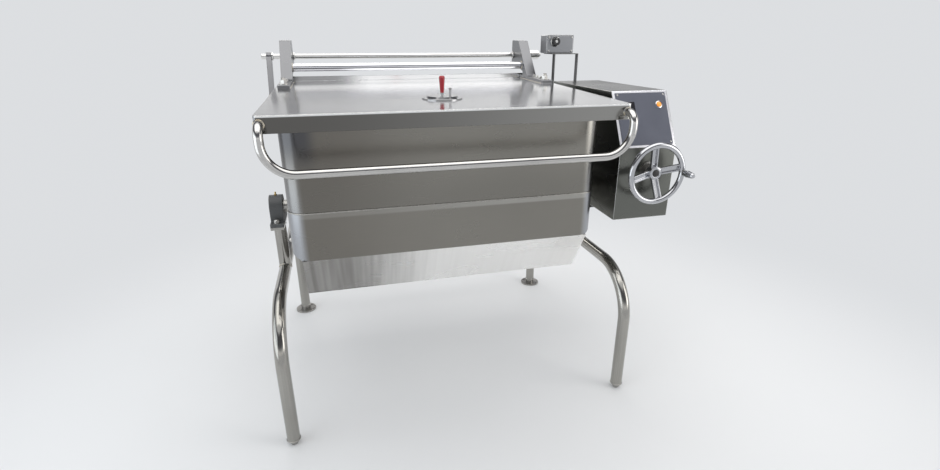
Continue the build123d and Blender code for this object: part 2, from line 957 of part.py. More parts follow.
def hand_wheel():
    """The dished wheel: a round rim, channel spokes and a hub."""
    rim_radius = (wheel_diameter - wheel_rim_thickness) / 2
    facing = Plane(origin=(wheel_x, wheel_rim_setback, wheel_height), x_dir=(1, 0, 0), z_dir=(0, -1, 0))
    wheel = facing * Torus(rim_radius, wheel_rim_thickness / 2)
    hub_front = wheel_rim_setback + wheel_dish - wheel_hub_length / 2
    wheel += rod_y(
        wheel_hub_diameter / 2, hub_front, hub_front + wheel_hub_length, wheel_x, wheel_height
    )
    half = wheel_spoke_width / 2
    channel = Polygon(
        (-half, 0),
        (half, 0),
        (half, wheel_spoke_depth),
        (half - wheel_spoke_rib, wheel_spoke_depth),
        (half - wheel_spoke_rib, wheel_spoke_web),
        (-half + wheel_spoke_rib, wheel_spoke_web),
        (-half + wheel_spoke_rib, wheel_spoke_depth),
        (-half, wheel_spoke_depth),
        align=None,
    )
    for number in range(wheel_spokes):
        angle = math.radians(wheel_spoke_turn + 360 / wheel_spokes * number)
        across = Vector(-math.sin(angle), 0, math.cos(angle))
        outward = Vector(math.cos(angle), 0, math.sin(angle))
        centre = Vector(wheel_x, wheel_rim_setback + wheel_spoke_depth / 2, wheel_height)
        inner = centre + outward * (wheel_hub_diameter / 4) + Vector(0, wheel_dish, 0)
        outer = centre + outward * rim_radius
        start = Plane(origin=inner, x_dir=across, z_dir=outer - inner)
        spoke = extrude(start * channel, amount=(outer - inner).length)
        wheel += spoke
    core = wheel_shaft_diameter / 2 + running_gap
    bore_front = hub_front + wheel_hub_nose
    return wheel - rod_y(core, bore_front, hub_front + wheel_hub_length, wheel_x, wheel_height)


def wheel_shaft():
    """The shaft from the hub through the bush."""
    hub_front = wheel_rim_setback + wheel_dish - wheel_hub_length / 2
    start = hub_front + wheel_hub_nose
    end = console_front_setback + wheel_bush_length
    return rod_y(wheel_shaft_diameter / 2, start, end, wheel_x, wheel_height)


def wheel_grip():
    """The turning grip on the wheel's rim."""
    rim_radius = (wheel_diameter - wheel_rim_thickness) / 2
    profile = Polygon(
        (0, 0),
        (grip_neck_diameter / 2, 0),
        (grip_neck_diameter / 2, grip_neck_length),
        (grip_shoulder_diameter / 2, grip_neck_length),
        (grip_diameter / 2, grip_belly_height),
        (grip_end_diameter / 2, grip_length - grip_crown_height),
        (grip_crown_diameter / 2, grip_length),
        (0, grip_length),
        align=None,
    )
    base = Plane(
        origin=(wheel_x + rim_radius, wheel_rim_setback - wheel_rim_thickness / 2, wheel_height),
        x_dir=(1, 0, 0),
        z_dir=(0, -1, 0),
    )
    return base * revolve(Plane.XZ * profile, axis=Axis.Z)


box_left = bracket_outer + box_gap_to_bracket
box_front = console_rear_setback + box_standoff
box_bottom = console_top + box_above_console


def switch_box():
    """The small switch box behind the console."""
    box = side_solid(
        [
            (box_front, box_bottom),
            (box_front + box_depth, box_bottom),
            (box_front + box_depth, box_bottom + box_height),
            (box_front, box_bottom + box_height),
        ],
        box_left,
        box_left + box_width,
    )
    return fillet(box.edges().filter_by(Axis.Y), box_corner_radius)


def box_bracket():
    """Two straps on the console's rear wall and the shelf that they carry."""
    low = console_top - bracket_strap_overlap
    rear = console_rear_setback
    shelf_low = box_bottom - bracket_sheet
    left = box_left + bracket_left_inset
    right = box_left + box_width + bracket_right_outset
    bracket = side_solid(
        [
            (rear, shelf_low),
            (box_front + box_depth, shelf_low),
            (box_front + box_depth, box_bottom),
            (rear, box_bottom),
        ],
        left,
        right,
    )
    strap = [
        (rear, low),
        (rear + bracket_strap_depth, low),
        (rear + bracket_strap_depth, shelf_low),
        (rear, shelf_low),
    ]
    bracket += side_solid(strap, max(left, console_left), max(left, console_left) + bracket_sheet)
    return bracket + side_solid(strap, right - bracket_sheet, right)


def control_knob():
    """The round knob on the switch box."""
    x = box_left + knob_from_left
    z = box_bottom + box_height - knob_below_top
    knob = rod_y(knob_diameter / 2, box_front - knob_length, box_front, x, z)
    front = knob.edges().filter_by(GeomType.CIRCLE).sort_by(Axis.Y)[0]
    return fillet(front, knob_edge_radius)


gear_shaft_end = frame_right + bearing_width / 2 + gear_shaft_depth - seat_gap
sides = (("left", -1), ("right", 1))
frames = (("left", frame_left), ("right", frame_right))

pieces = {
    "pan_shell": pan_shell(),
    "heater_jacket": heater_jacket(),
    "jacket_floor": jacket_floor(),
    "trunnion_left": trunnion(-1, frame_left - bearing_width / 2),
    "trunnion_right": trunnion(1, gear_shaft_end),
    "hinge_rail": hinge_rail(),
    "hinge_tube": hinge_tube(),
    "hinge_bracket_left": hinge_bracket(post_outer, post_inner),
    "hinge_bracket_right": hinge_bracket(bracket_inner, bracket_outer),
    "hinge_cap_left": hinge_cap(
        hinge_tube_left, -hinge_plug_length, hinge_plug_radius, hinge_plug_chamfer
    ),
    "hinge_cap_right": hinge_cap(
        bracket_outer, hinge_drum_length, hinge_drum_radius, hinge_drum_chamfer
    ),
    "lid_panel": lid_panel(),
    "lid_handle": lid_handle(),
    "lid_cross_tube": cross_tube(),
    "vent_plate": vent_plate(),
    "vent_cover": vent_cover(),
    "vent_knob": vent_knob(),
    "rear_tie": rear_tie(),
    "gear_case": gear_case(),
    "console_body": console_body(),
    "control_panel": control_panel(),
    "indicator_lamp": indicator_lamp(),
    "wheel_bush": wheel_bush(),
    "hand_wheel": hand_wheel(),
    "wheel_shaft": wheel_shaft(),
    "wheel_grip": wheel_grip(),
    "switch_box": switch_box(),
    "box_bracket": box_bracket(),
    "control_knob": control_knob(),
}
for name, side in sides:
    pieces["lid_arm_" + name] = lid_arm(side)
for name, x in frames:
    pieces["side_frame_" + name] = side_frame(x)
    pieces["rear_leg_" + name] = rear_leg(x)
    pieces["bearing_post_" + name] = bearing_post(x)
    pieces["trunnion_bearing_" + name] = trunnion_bearing(x)
    pieces["front_foot_" + name] = bullet_foot(x)
    pieces["rear_foot_" + name] = flanged_foot(x)

# The origin moves to the bottom centre of the assembly's box.
left_end = frame_left - max(rear_foot_diameter, bearing_width) / 2
handle_bend_above_rim = lid_top - handle_root_below_top - handle_root_radius - rim_height
handle_bend_centre = (handle_root_radius - handle_standoff) * slope_cosine
handle_bend_centre -= handle_bend_above_rim * slope_sine
right_end = wheel_x + (wheel_diameter - wheel_rim_thickness + grip_diameter) / 2
front_end = handle_bend_centre - handle_root_radius - handle_tube / 2
rear_end = leg_rear_setback + rear_foot_diameter / 2
shift = Pos(-(left_end + right_end) / 2, -(front_end + rear_end) / 2, 0)

os.makedirs("parts", exist_ok=True)
for name, piece in pieces.items():
    export_step(shift * piece, f"parts/{name}.step")
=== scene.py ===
import math

import bmesh
import bpy
from mathutils import Matrix, Vector


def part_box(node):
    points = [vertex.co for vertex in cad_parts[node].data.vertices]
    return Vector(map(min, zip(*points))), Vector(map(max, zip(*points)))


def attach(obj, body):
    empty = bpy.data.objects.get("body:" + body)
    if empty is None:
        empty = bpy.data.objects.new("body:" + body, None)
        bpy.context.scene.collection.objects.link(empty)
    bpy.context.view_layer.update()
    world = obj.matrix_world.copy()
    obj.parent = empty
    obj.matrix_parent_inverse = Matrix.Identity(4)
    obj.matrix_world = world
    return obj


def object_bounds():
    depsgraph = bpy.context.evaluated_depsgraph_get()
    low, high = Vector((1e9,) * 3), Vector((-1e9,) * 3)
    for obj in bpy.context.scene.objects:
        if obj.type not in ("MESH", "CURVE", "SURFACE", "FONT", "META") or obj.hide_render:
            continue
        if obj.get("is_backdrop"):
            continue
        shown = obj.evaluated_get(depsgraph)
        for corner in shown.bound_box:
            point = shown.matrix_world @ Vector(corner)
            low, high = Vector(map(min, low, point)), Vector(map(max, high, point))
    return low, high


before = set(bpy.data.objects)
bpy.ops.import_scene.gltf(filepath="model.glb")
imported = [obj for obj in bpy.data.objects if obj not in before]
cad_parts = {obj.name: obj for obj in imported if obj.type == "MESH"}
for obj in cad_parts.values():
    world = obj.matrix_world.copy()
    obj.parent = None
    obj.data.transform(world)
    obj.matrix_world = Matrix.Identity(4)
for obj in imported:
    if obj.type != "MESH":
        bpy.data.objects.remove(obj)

cad_box = [list(corner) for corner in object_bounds()]

# The viewer stands in front of the pan, a little to its left, and looks down and to the right
# through a wide lens. The angles are in degrees.
look_down, look_right, half_view = 21, 14.5, 43
camera = bpy.data.objects.new("camera", bpy.data.cameras.new("camera"))
bpy.context.scene.collection.objects.link(camera)
camera.location = (-0.3792, -1.6904, 1.13)
camera.rotation_euler = (math.radians(90 - look_down), 0, math.radians(-look_right))
camera.data.sensor_width = 36
camera.data.lens = camera.data.sensor_width / 2 / math.tan(math.radians(half_view))
camera.data.clip_start = 0.02
bpy.context.scene.camera = camera
bpy.context.scene.view_settings.view_transform = "Standard"


# The stand that the pan is shown on: a plain pale floor. Far out it takes the backdrop's own
# colour, so that no edge shows behind the pan.
def add_node(tree, kind, sockets=None, **settings):
    """A node with its settings, its fixed values and its links."""
    node = tree.nodes.new(kind)
    for name, value in settings.items():
        setattr(node, name, value)
    for socket, value in (sockets or {}).items():
        if isinstance(value, bpy.types.NodeSocket):
            tree.links.new(value, node.inputs[socket])
        else:
            node.inputs[socket].default_value = value
    return node


def blended(tree, share, first, second):
    """A colour between two others."""
    return add_node(tree, "ShaderNodeMix", {0: share, 6: first, 7: second}, data_type="RGBA").outputs[2]


def new_finish(name, **values):
    """A material with one Principled shader, and that shader's fixed values."""
    material = bpy.data.materials.new(name)
    material.use_nodes = True
    shader = material.node_tree.nodes["Principled BSDF"]
    for socket, value in values.items():
        shader.inputs[socket.replace("_", " ")].default_value = value
    return material, material.node_tree, shader


def vary(shader, **sources):
    """Links what varies over a surface to its shader."""
    for socket, source in sources.items():
        shader.id_data.links.new(source, shader.inputs[socket.replace("_", " ")])


def worked(tree, operation, *values, clamp=False):
    """The result of one sum."""
    sockets = dict(enumerate(values))
    return add_node(tree, "ShaderNodeMath", sockets, operation=operation, use_clamp=clamp).outputs[0]


def scaled(tree, value, start, stop, first=0.0, last=1.0, **settings):
    """A value taken from one range to another."""
    sockets = {0: value, 1: start, 2: stop, 3: first, 4: last}
    return add_node(tree, "ShaderNodeMapRange", sockets, **settings).outputs[0]


def noise(tree, scale, detail, stretch=None, **values):
    """Noise on the piece's own coordinates, which may be stretched first."""
    place = add_node(tree, "ShaderNodeTexCoord").outputs["Object"]
    if stretch:
        place = add_node(tree, "ShaderNodeMapping", {0: place, "Scale": stretch}).outputs[0]
    sockets = {0: place, "Scale": scale, "Detail": detail, **values}
    return add_node(tree, "ShaderNodeTexNoise", sockets).outputs[0]


def background_rays(tree):
    """1 for the rays that see the backdrop: the viewer's, reflected and transmitted ones."""
    rays = add_node(tree, "ShaderNodeLightPath").outputs
    seen = worked(tree, "ADD", rays["Is Camera Ray"], rays["Is Glossy Ray"])
    return worked(tree, "ADD", seen, rays["Is Transmission Ray"], clamp=True)


backdrop_colour = (0.72, 0.735, 0.755, 1)
floor_finish, tree, shader = new_finish("pale_floor", Roughness=0.7)
vary(shader, Base_Color=blended(tree, noise(tree, 1.3, 3.0), (0.75, 0.755, 0.76, 1), (0.79, 0.795, 0.8, 1)))
place = add_node(tree, "ShaderNodeTexCoord")
far = add_node(tree, "ShaderNodeVectorMath", {0: place.outputs["Object"]}, operation="LENGTH")
fade = scaled(tree, far.outputs["Value"], 0.8, 2.3, interpolation_type="SMOOTHSTEP")
share = worked(tree, "MULTIPLY", fade, background_rays(tree))
plain = add_node(tree, "ShaderNodeEmission", {0: backdrop_colour, 1: 1.0})
both = add_node(tree, "ShaderNodeMixShader", {0: share, 1: shader.outputs[0], 2: plain.outputs[0]})
tree.links.new(both.outputs[0], tree.nodes["Material Output"].inputs["Surface"])
half = 14.0
mesh = bpy.data.meshes.new("floor")
corners = [(half * x, half * y, 0) for x, y in ((-1, -1), (1, -1), (1, 1), (-1, 1))]
mesh.from_pydata(corners, [], [(0, 1, 2, 3)])
mesh.materials.append(floor_finish)
floor = bpy.data.objects.new("floor", mesh)
bpy.context.scene.collection.objects.link(floor)
floor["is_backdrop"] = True


# Soft light from four large panels, in a pale surround. What metal mirrors of the surround is
# white just above the horizon, dim over that and white overhead, so that bright tube shows
# light and dark. The viewer sees the plain backdrop instead.
def axes_of(tree, kind):
    """The X, Y and Z of a place or a direction."""
    place = add_node(tree, "ShaderNodeTexCoord")
    return add_node(tree, "ShaderNodeSeparateXYZ", {0: place.outputs[kind]}).outputs


def ramped(tree, value, *stops):
    """A colour that goes through stops. Each is a place from 0 to 1, and a colour."""
    ramp = add_node(tree, "ShaderNodeValToRGB", {0: value})
    marks = ramp.color_ramp.elements
    for mark, (place, colour) in zip(marks, (stops[0], stops[-1])):
        mark.position, mark.color = place, colour
    for place, colour in stops[1:-1]:
        marks.new(place).color = colour
    return ramp.outputs[0]


world = bpy.data.worlds.new("surround")
bpy.context.scene.world = world
world.use_nodes = True
tree = world.node_tree
tree.nodes.clear()
white = (1.0, 1.0, 1.0, 1)
mirrored = ramped(tree, axes_of(tree, "Generated")["Z"],
                  (0.0, backdrop_colour), (0.04, backdrop_colour), (0.07, white), (0.165, white),
                  (0.225, (0.5, 0.51, 0.53, 1)), (0.33, (0.16, 0.165, 0.18, 1)),
                  (0.64, (0.13, 0.13, 0.145, 1)), (0.74, (0.95, 0.96, 0.98, 1)), (1.0, white))
shown, lit, plain = [
    add_node(tree, "ShaderNodeBackground", {0: colour, 1: strength}).outputs[0]
    for colour, strength in ((mirrored, 1.0), ((0.95, 0.97, 1.0, 1), 0.68), (backdrop_colour, 1.0))
]
either = add_node(tree, "ShaderNodeMixShader", {0: background_rays(tree), 1: lit, 2: shown})
viewed = add_node(tree, "ShaderNodeLightPath").outputs["Is Camera Ray"]
seen = add_node(tree, "ShaderNodeMixShader", {0: viewed, 1: either.outputs[0], 2: plain})
add_node(tree, "ShaderNodeOutputWorld", {0: seen.outputs[0]})

warm, cool = (1.0, 0.985, 0.96), (0.88, 0.95, 1.0)
for name, spot, aim, size, power, tint in (
    ("ceiling_panel", (0.1, -0.4, 3.0), (0.1, 0.0, 0.7), (4.2, 2.6), 38, warm),
    ("left_panel", (-2.3, -0.95, 0.85), (0.0, -0.2, 0.6), (2.2, 1.6), 15, cool),
    ("right_panel", (2.5, -1.7, 1.3), (0.2, 0.0, 0.6), (1.4, 2.0), 22, warm),
    ("rear_panel", (0.3, 2.65, 2.45), (0.0, 0.2, 0.7), (3.0, 1.0), 28, warm),
):
    lamp = bpy.data.lights.new(name, "AREA")
    lamp.shape = "RECTANGLE"
    lamp.size, lamp.size_y = size
    lamp.energy = power
    lamp.color = tint
    lamp_object = bpy.data.objects.new(name, lamp)
    bpy.context.scene.collection.objects.link(lamp_object)
    lamp_object.location = spot
    lamp_object.rotation_euler = (Vector(aim) - Vector(spot)).to_track_quat("-Z", "Y").to_euler()


# The leg frame: two stainless tubes, each bent back from a front leg into a level run, with
# upright rear legs, a tie between them and a post under each bearing. The tube is drawn and
# polished along its length.
def toned(colour, factor):
    """A colour made darker or lighter."""
    return (*[factor * part for part in colour], 1)


def bump(tree, strength, distance, height, under=None):
    """A normal that fine relief has tipped, over another normal where one is given."""
    sockets = {"Strength": strength, "Distance": distance, "Height": height}
    if under is not None:
        sockets["Normal"] = under
    return add_node(tree, "ShaderNodeBump", sockets).outputs[0]


def tube_finish(name, colour, roughness, stretch):
    """Polished tube: long draw lines, faint smears and a slightly uneven sheen."""
    finish, tree, shader = new_finish(name, Metallic=1.0)
    draw = noise(tree, 1.0, 4.0, stretch, Roughness=0.6)
    smear = noise(tree, 7.0, 3.0)
    shade = scaled(tree, worked(tree, "MULTIPLY", draw, smear), 0.12, 0.4)
    vary(shader, Base_Color=blended(tree, shade, toned(colour, 0.88), toned(colour, 1.07)),
         Roughness=scaled(tree, smear, 0.3, 0.7, roughness * 0.8, roughness * 1.3),
         Normal=bump(tree, 0.05, 0.0001, draw))
    return finish


def dress(finish, *nodes):
    """Gives CAD nodes their finish."""
    for node in nodes:
        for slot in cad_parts[node].material_slots:
            slot.material = finish


leg_colour = (0.38, 0.37, 0.345)
upright_tube = tube_finish("leg_tube_upright", leg_colour, 0.13, (300, 300, 5))
level_tube = tube_finish("leg_tube_across", leg_colour, 0.13, (5, 300, 300))
dress(upright_tube, "side_frame_left", "side_frame_right", "rear_leg_left", "rear_leg_right",
      "bearing_post_left", "bearing_post_right")
dress(level_tube, "rear_tie")


# Weld beads where tubes and plates meet: a rippled fillet of filler metal, tinted straw and
# blue by the heat. Each follows the line where two pieces touch.
weld_finish, tree, shader = new_finish("weld_metal", Metallic=1.0)
tint = noise(tree, 90.0, 3.0)
heat = ramped(tree, tint, (0.32, (0.3, 0.33, 0.38, 1)), (0.48, (0.5, 0.44, 0.33, 1)),
              (0.62, (0.55, 0.52, 0.47, 1)))
vary(shader, Base_Color=heat, Roughness=scaled(tree, tint, 0.0, 1.0, 0.25, 0.45))


def new_tree(name, **sockets):
    """A Geometry Nodes tree, the identifiers that set its named inputs, and what they give."""
    tree = bpy.data.node_groups.new(name, "GeometryNodeTree")
    tree.interface.new_socket("Geometry", in_out="INPUT", socket_type="NodeSocketGeometry")
    keys = {}
    for socket, kind in sockets.items():
        made = tree.interface.new_socket(socket.replace("_", " "), in_out="INPUT",
                                         socket_type="NodeSocket" + kind)
        keys[socket] = made.identifier
    tree.interface.new_socket("Geometry", in_out="OUTPUT", socket_type="NodeSocketGeometry")
    return tree, keys, add_node(tree, "NodeGroupInput").outputs


def end_tree(tree, geometry, finish):
    """Ends a tree in real geometry that has its finish."""
    whole = add_node(tree, "GeometryNodeRealizeInstances", {0: geometry})
    whole = add_node(tree, "GeometryNodeSetMaterial", {0: whole.outputs[0], "Material": finish})
    add_node(tree, "NodeGroupOutput", {0: whole.outputs[0]})


bead_tree, bead_keys, given = new_tree("weld_bead", Bead_radius="Float", Ripple_length="Float",
                                       Wander="Float", Seed="Float", Finish="Material")
line = add_node(bead_tree, "GeometryNodeMeshToCurve", {0: given["Geometry"]})
step = worked(bead_tree, "DIVIDE", given["Ripple length"], 3.0)
line = add_node(bead_tree, "GeometryNodeResampleCurve", {"Curve": line.outputs[0], "Length": step},
                mode="LENGTH")
length = add_node(bead_tree, "GeometryNodeSplineParameter").outputs["Length"]
ripple = worked(bead_tree, "DIVIDE", length, given["Ripple length"])
ripple = worked(bead_tree, "SINE", worked(bead_tree, "MULTIPLY", ripple, 2 * math.pi))
swell = worked(bead_tree, "MULTIPLY_ADD", ripple, 0.16, 1.0)
profile = add_node(bead_tree, "GeometryNodeCurvePrimitiveCircle",
                   {"Resolution": 8, "Radius": given["Bead radius"]})
bead = add_node(bead_tree, "GeometryNodeCurveToMesh",
                {0: line.outputs[0], 1: profile.outputs[0], "Scale": swell, "Fill Caps": True})
wander = add_node(bead_tree, "ShaderNodeTexNoise", {"W": given["Seed"], "Scale": 60.0}, noise_dimensions="4D")
shove = add_node(bead_tree, "ShaderNodeVectorMath", {0: wander.outputs["Color"], 1: (0.5, 0.5, 0.5)},
                 operation="SUBTRACT")
most = worked(bead_tree, "MULTIPLY", given["Bead radius"], given["Wander"])
shove = add_node(bead_tree, "ShaderNodeVectorMath", {0: shove.outputs[0], "Scale": most}, operation="SCALE")
bead = add_node(bead_tree, "GeometryNodeSetPosition", {0: bead.outputs[0], "Offset": shove.outputs[0]})
bead = add_node(bead_tree, "GeometryNodeSetShadeSmooth", {0: bead.outputs[0]})
end_tree(bead_tree, bead.outputs[0], given["Finish"])


def grown(name, mesh, tree, keys, body, slot, **inputs):
    """Runs a tree on a mesh of lines or points, and keeps the result as a plain mesh."""
    piece = bpy.data.objects.new(name, mesh)
    bpy.context.scene.collection.objects.link(piece)
    modifier = piece.modifiers.new(tree.name, "NODES")
    modifier.node_group = tree
    for key, value in inputs.items():
        modifier[keys[key]] = value
    view = bpy.context.evaluated_depsgraph_get()
    made = bpy.data.meshes.new_from_object(piece.evaluated_get(view))
    piece.modifiers.clear()
    piece.data = made
    made.name = name
    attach(piece, body)
    return piece


def bead_lines(name, body, slot, lines, radius=0.0022, ripple=0.0045, wander=1.0, seed=1.0,
               finish=weld_finish):
    """Beads along lines of points. A line whose ends meet is closed."""
    points, edges = [], []
    for line in lines:
        first = len(points)
        closed = (Vector(line[0]) - Vector(line[-1])).length < 1e-6
        kept = line[:-1] if closed else line
        points += [tuple(point) for point in kept]
        edges += [(first + k, first + k + 1) for k in range(len(kept) - 1)]
        if closed:
            edges.append((first + len(kept) - 1, first))
    mesh = bpy.data.meshes.new(name)
    mesh.from_pydata(points, edges, [])
    return grown(name, mesh, bead_tree, bead_keys, body, slot,
                 Bead_radius=radius, Ripple_length=ripple, Wander=wander, Seed=seed, Finish=finish)


def ring_line(centre, axis, radius, steps=48):
    """A closed ring of points about an axis."""
    axis = Vector(axis).normalized()
    side = axis.orthogonal().normalized()
    other = axis.cross(side)
    turns = [2 * math.pi * k / steps for k in range(steps + 1)]
    return [Vector(centre) + radius * (math.cos(t) * side + math.sin(t) * other) for t in turns]


def saddle_line(centre, across, rise, over, radius, steps=48):
    """The closed line where a tube ends on another of its size: a ring pulled over it."""
    across, rise, over = Vector(across), Vector(rise), Vector(over)
    turns = [2 * math.pi * k / steps for k in range(steps + 1)]
    return [Vector(centre) + radius * (math.cos(t) * across + math.sin(t) * rise + abs(math.sin(t)) * over)
            for t in turns]


def middle_of(node):
    """The middle of a CAD node's box."""
    low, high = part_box(node)
    return (low + high) / 2


plug_drop, plug_inset, cap_plate = 0.003, 0.001, 0.008
leg_beads = []
for side, inward in (("left", 1), ("right", -1)):
    low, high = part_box("rear_leg_" + side)
    radius = (high.x - low.x) / 2
    leg, post = middle_of("rear_leg_" + side), middle_of("bearing_post_" + side)
    run_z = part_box("side_frame_" + side)[1].z - radius
    cap_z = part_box("bearing_post_" + side)[1].z - cap_plate
    leg_beads += [
        ring_line((leg.x, leg.y, high.z - plug_drop), (0, 0, 1), radius - plug_inset),
        saddle_line((leg.x, leg.y, run_z), (1, 0, 0), (0, 0, 1), (0, -1, 0), radius),
        saddle_line((leg.x, leg.y, middle_of("rear_tie").z), (0, 1, 0), (0, 0, 1), (inward, 0, 0), radius),
        saddle_line((leg.x, post.y, run_z), (1, 0, 0), (0, 1, 0), (0, 0, 1), radius),
        ring_line((leg.x, post.y, cap_z), (0, 0, 1), radius),
    ]
bead_lines("leg_welds", "frame", "tube_steel", leg_beads)


# The feet: turned stainless, a blunt bullet under each front leg and a flanged disc under
# each rear leg, with a machined groove above it. The floor has dulled and scratched them.
def keep_piece(name, shape, body, finish, crease=35):
    """Ends a mesh: faces outwards, smooth where it is round, and riding on its body."""
    bmesh.ops.recalc_face_normals(shape, faces=shape.faces)
    mesh = bpy.data.meshes.new(name)
    shape.to_mesh(mesh)
    shape.free()
    mesh.materials.append(finish)
    for face in mesh.polygons:
        face.use_smooth = True
    mesh.set_sharp_from_angle(angle=math.radians(crease))
    piece = bpy.data.objects.new(name, mesh)
    bpy.context.scene.collection.objects.link(piece)
    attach(piece, body)
    return piece


def lathed(name, body, finish, turned, steps=40):
    """Turned pieces in one mesh. Each is a profile of (radius, height) points, a foot and the
    way that its axis points. A profile that ends where it starts is a ring."""
    shape = bmesh.new()
    for profile, foot, way in turned:
        lay = Matrix.Translation(Vector(foot)) @ Vector(way).to_track_quat("Z", "Y").to_matrix().to_4x4()
        rows = []
        for radius, height in profile:
            turns = [2 * math.pi * k / steps for k in range(steps if radius > 1e-7 else 1)]
            rows.append([
                shape.verts.new(lay @ Vector((radius * math.cos(t), radius * math.sin(t), height)))
                for t in turns
            ])
        if profile[0] == profile[-1]:
            for corner in rows[-1]:
                shape.verts.remove(corner)
            rows[-1] = rows[0]
        for low, high in zip(rows, rows[1:]):
            for k in range(steps):
                corners = (low[k % len(low)], low[(k + 1) % len(low)],
                           high[(k + 1) % len(high)], high[k % len(high)])
                corners = list(dict.fromkeys(corners))
                if len(corners) > 2:
                    shape.faces.new(corners)
    return keep_piece(name, shape, body, finish)


foot_finish = tube_finish("turned_feet", (0.42, 0.41, 0.39), 0.26, (60, 60, 500))
dress(foot_finish, "front_foot_left", "front_foot_right", "rear_foot_left", "rear_foot_right")
collar = [(0.0188, 0.0), (0.0205, 0.0006), (0.0209, 0.0022), (0.0205, 0.0038), (0.0188, 0.0044),
          (0.0188, 0.0)]
turned = []
for side in ("left", "right"):
    for node, height in (("front_foot_", 0.0155), ("rear_foot_", 0.0205)):
        foot = middle_of(node + side)
        turned.append((collar, (foot.x, foot.y, height), (0, 0, 1)))
lathed("foot_collars", "frame", foot_finish, turned)


# The bearings and the worm gear's case: grey iron with a satin enamel over a slightly rough
# casting, rubbed thin along its edges. Each bearing has a grease nipple on top.
def soft_edge(tree, radius, samples=6):
    """A normal that rounds the sharp edges."""
    return add_node(tree, "ShaderNodeBevel", {"Radius": radius}, samples=samples).outputs[0]


def agreement(tree, first, second):
    """How far two directions agree: 1 where they are the same, and 0 where they are square."""
    both = add_node(tree, "ShaderNodeVectorMath", {0: first, 1: second}, operation="DOT_PRODUCT")
    return both.outputs["Value"]


def near_edge(tree, edge):
    """1 along an edge and 0 away from it, from the rounded normal."""
    flat = add_node(tree, "ShaderNodeNewGeometry").outputs["Normal"]
    return scaled(tree, agreement(tree, edge, flat), 0.985, 0.91)


def enamel_finish(name, colour, roughness):
    """Sprayed enamel with orange peel, dusty patches and rubbed edges."""
    finish, tree, shader = new_finish(name, Specular_IOR_Level=0.5)
    peel, dust = noise(tree, 420.0, 2.0), noise(tree, 24.0, 5.0)
    edge = soft_edge(tree, 0.002)
    sprayed = blended(tree, dust, toned(colour, 0.8), toned(colour, 1.15))
    edge_wear_and_glint = worked(tree, "MULTIPLY", near_edge(tree, edge), dust)
    vary(shader, Base_Color=blended(tree, edge_wear_and_glint, sprayed, (0.36, 0.355, 0.34, 1)),
         Roughness=scaled(tree, dust, 0.0, 1.0, roughness * 0.8, roughness * 1.3),
         Normal=bump(tree, 0.25, 0.0005, peel, edge))
    return finish


casting = enamel_finish("grey_enamel", (0.085, 0.088, 0.09), 0.42)
dress(casting, "trunnion_bearing_left", "trunnion_bearing_right", "gear_case")
brass, tree, shader = new_finish("nipple_brass", Metallic=1.0)
tarnish = noise(tree, 300.0, 3.0)
vary(shader, Base_Color=blended(tree, tarnish, (0.36, 0.24, 0.09, 1), (0.62, 0.46, 0.2, 1)),
     Roughness=scaled(tree, tarnish, 0.0, 1.0, 0.2, 0.42))
nipple = [(0.0, -0.001), (0.0042, -0.001), (0.0042, 0.003), (0.0026, 0.0038), (0.0022, 0.0068),
          (0.003, 0.0082), (0.0026, 0.0098), (0.0012, 0.0106), (0.0, 0.0106)]
turned = []
for node in ("trunnion_bearing_left", "trunnion_bearing_right"):
    spot = middle_of(node)
    turned.append((nipple, (spot.x, spot.y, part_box(node)[1].z), (0, 0, 1)))
lathed("grease_nipples", "frame", brass, turned, steps=20)


# Bolts, nuts and screws: zinc-bright heads on thin washers, some with a domed end. One tree
# sets a head on each point, square to the surface that it holds.
bolt_finish = tube_finish("bright_bolts", (0.56, 0.55, 0.53), 0.22, (120, 120, 120))
bolt_tree, bolt_keys, given = new_tree("bolt_heads", Sides="Int", Head_width="Float", Head_height="Float",
                                       Washer_width="Float", Washer_height="Float", Dome="Float",
                                       Seed="Int", Finish="Material")


def half_of(tree, socket):
    """Half of a size."""
    return worked(tree, "MULTIPLY", socket, 0.5)


def raised(tree, geometry, height):
    """Geometry lifted along its own axis."""
    lift = add_node(tree, "ShaderNodeCombineXYZ", {"Z": height})
    return add_node(tree, "GeometryNodeTransform", {0: geometry, "Translation": lift.outputs[0]}).outputs[0]


washer = add_node(bolt_tree, "GeometryNodeMeshCylinder",
                  {"Vertices": 24, "Radius": half_of(bolt_tree, given["Washer width"]),
                   "Depth": given["Washer height"]})
washer = raised(bolt_tree, washer.outputs[0], half_of(bolt_tree, given["Washer height"]))
head = add_node(bolt_tree, "GeometryNodeMeshCylinder",
                {"Vertices": given["Sides"], "Radius": half_of(bolt_tree, given["Head width"]),
                 "Depth": given["Head height"]})
middle = worked(bolt_tree, "ADD", half_of(bolt_tree, given["Head height"]), given["Washer height"])
head = raised(bolt_tree, head.outputs[0], middle)
crown_radius = worked(bolt_tree, "MULTIPLY", given["Head width"], 0.42)
crown = add_node(bolt_tree, "GeometryNodeMeshUVSphere", {"Segments": 16, "Rings": 8, "Radius": crown_radius})
squeeze = add_node(bolt_tree, "ShaderNodeCombineXYZ", {"X": 1.0, "Y": 1.0, "Z": given["Dome"]})
crown = add_node(bolt_tree, "GeometryNodeTransform", {0: crown.outputs[0], "Scale": squeeze.outputs[0]})
crown = add_node(bolt_tree, "GeometryNodeSetShadeSmooth", {0: crown.outputs[0]})
top = worked(bolt_tree, "ADD", given["Head height"], given["Washer height"])
crown = raised(bolt_tree, crown.outputs[0], top)
whole = add_node(bolt_tree, "GeometryNodeJoinGeometry")
for part in (washer, head, crown):
    bolt_tree.links.new(part, whole.inputs[0])
way = add_node(bolt_tree, "GeometryNodeInputNamedAttribute", {0: "facing"}, data_type="FLOAT_VECTOR")
lean = add_node(bolt_tree, "FunctionNodeAlignRotationToVector", {"Vector": way.outputs[0]}, axis="Z")
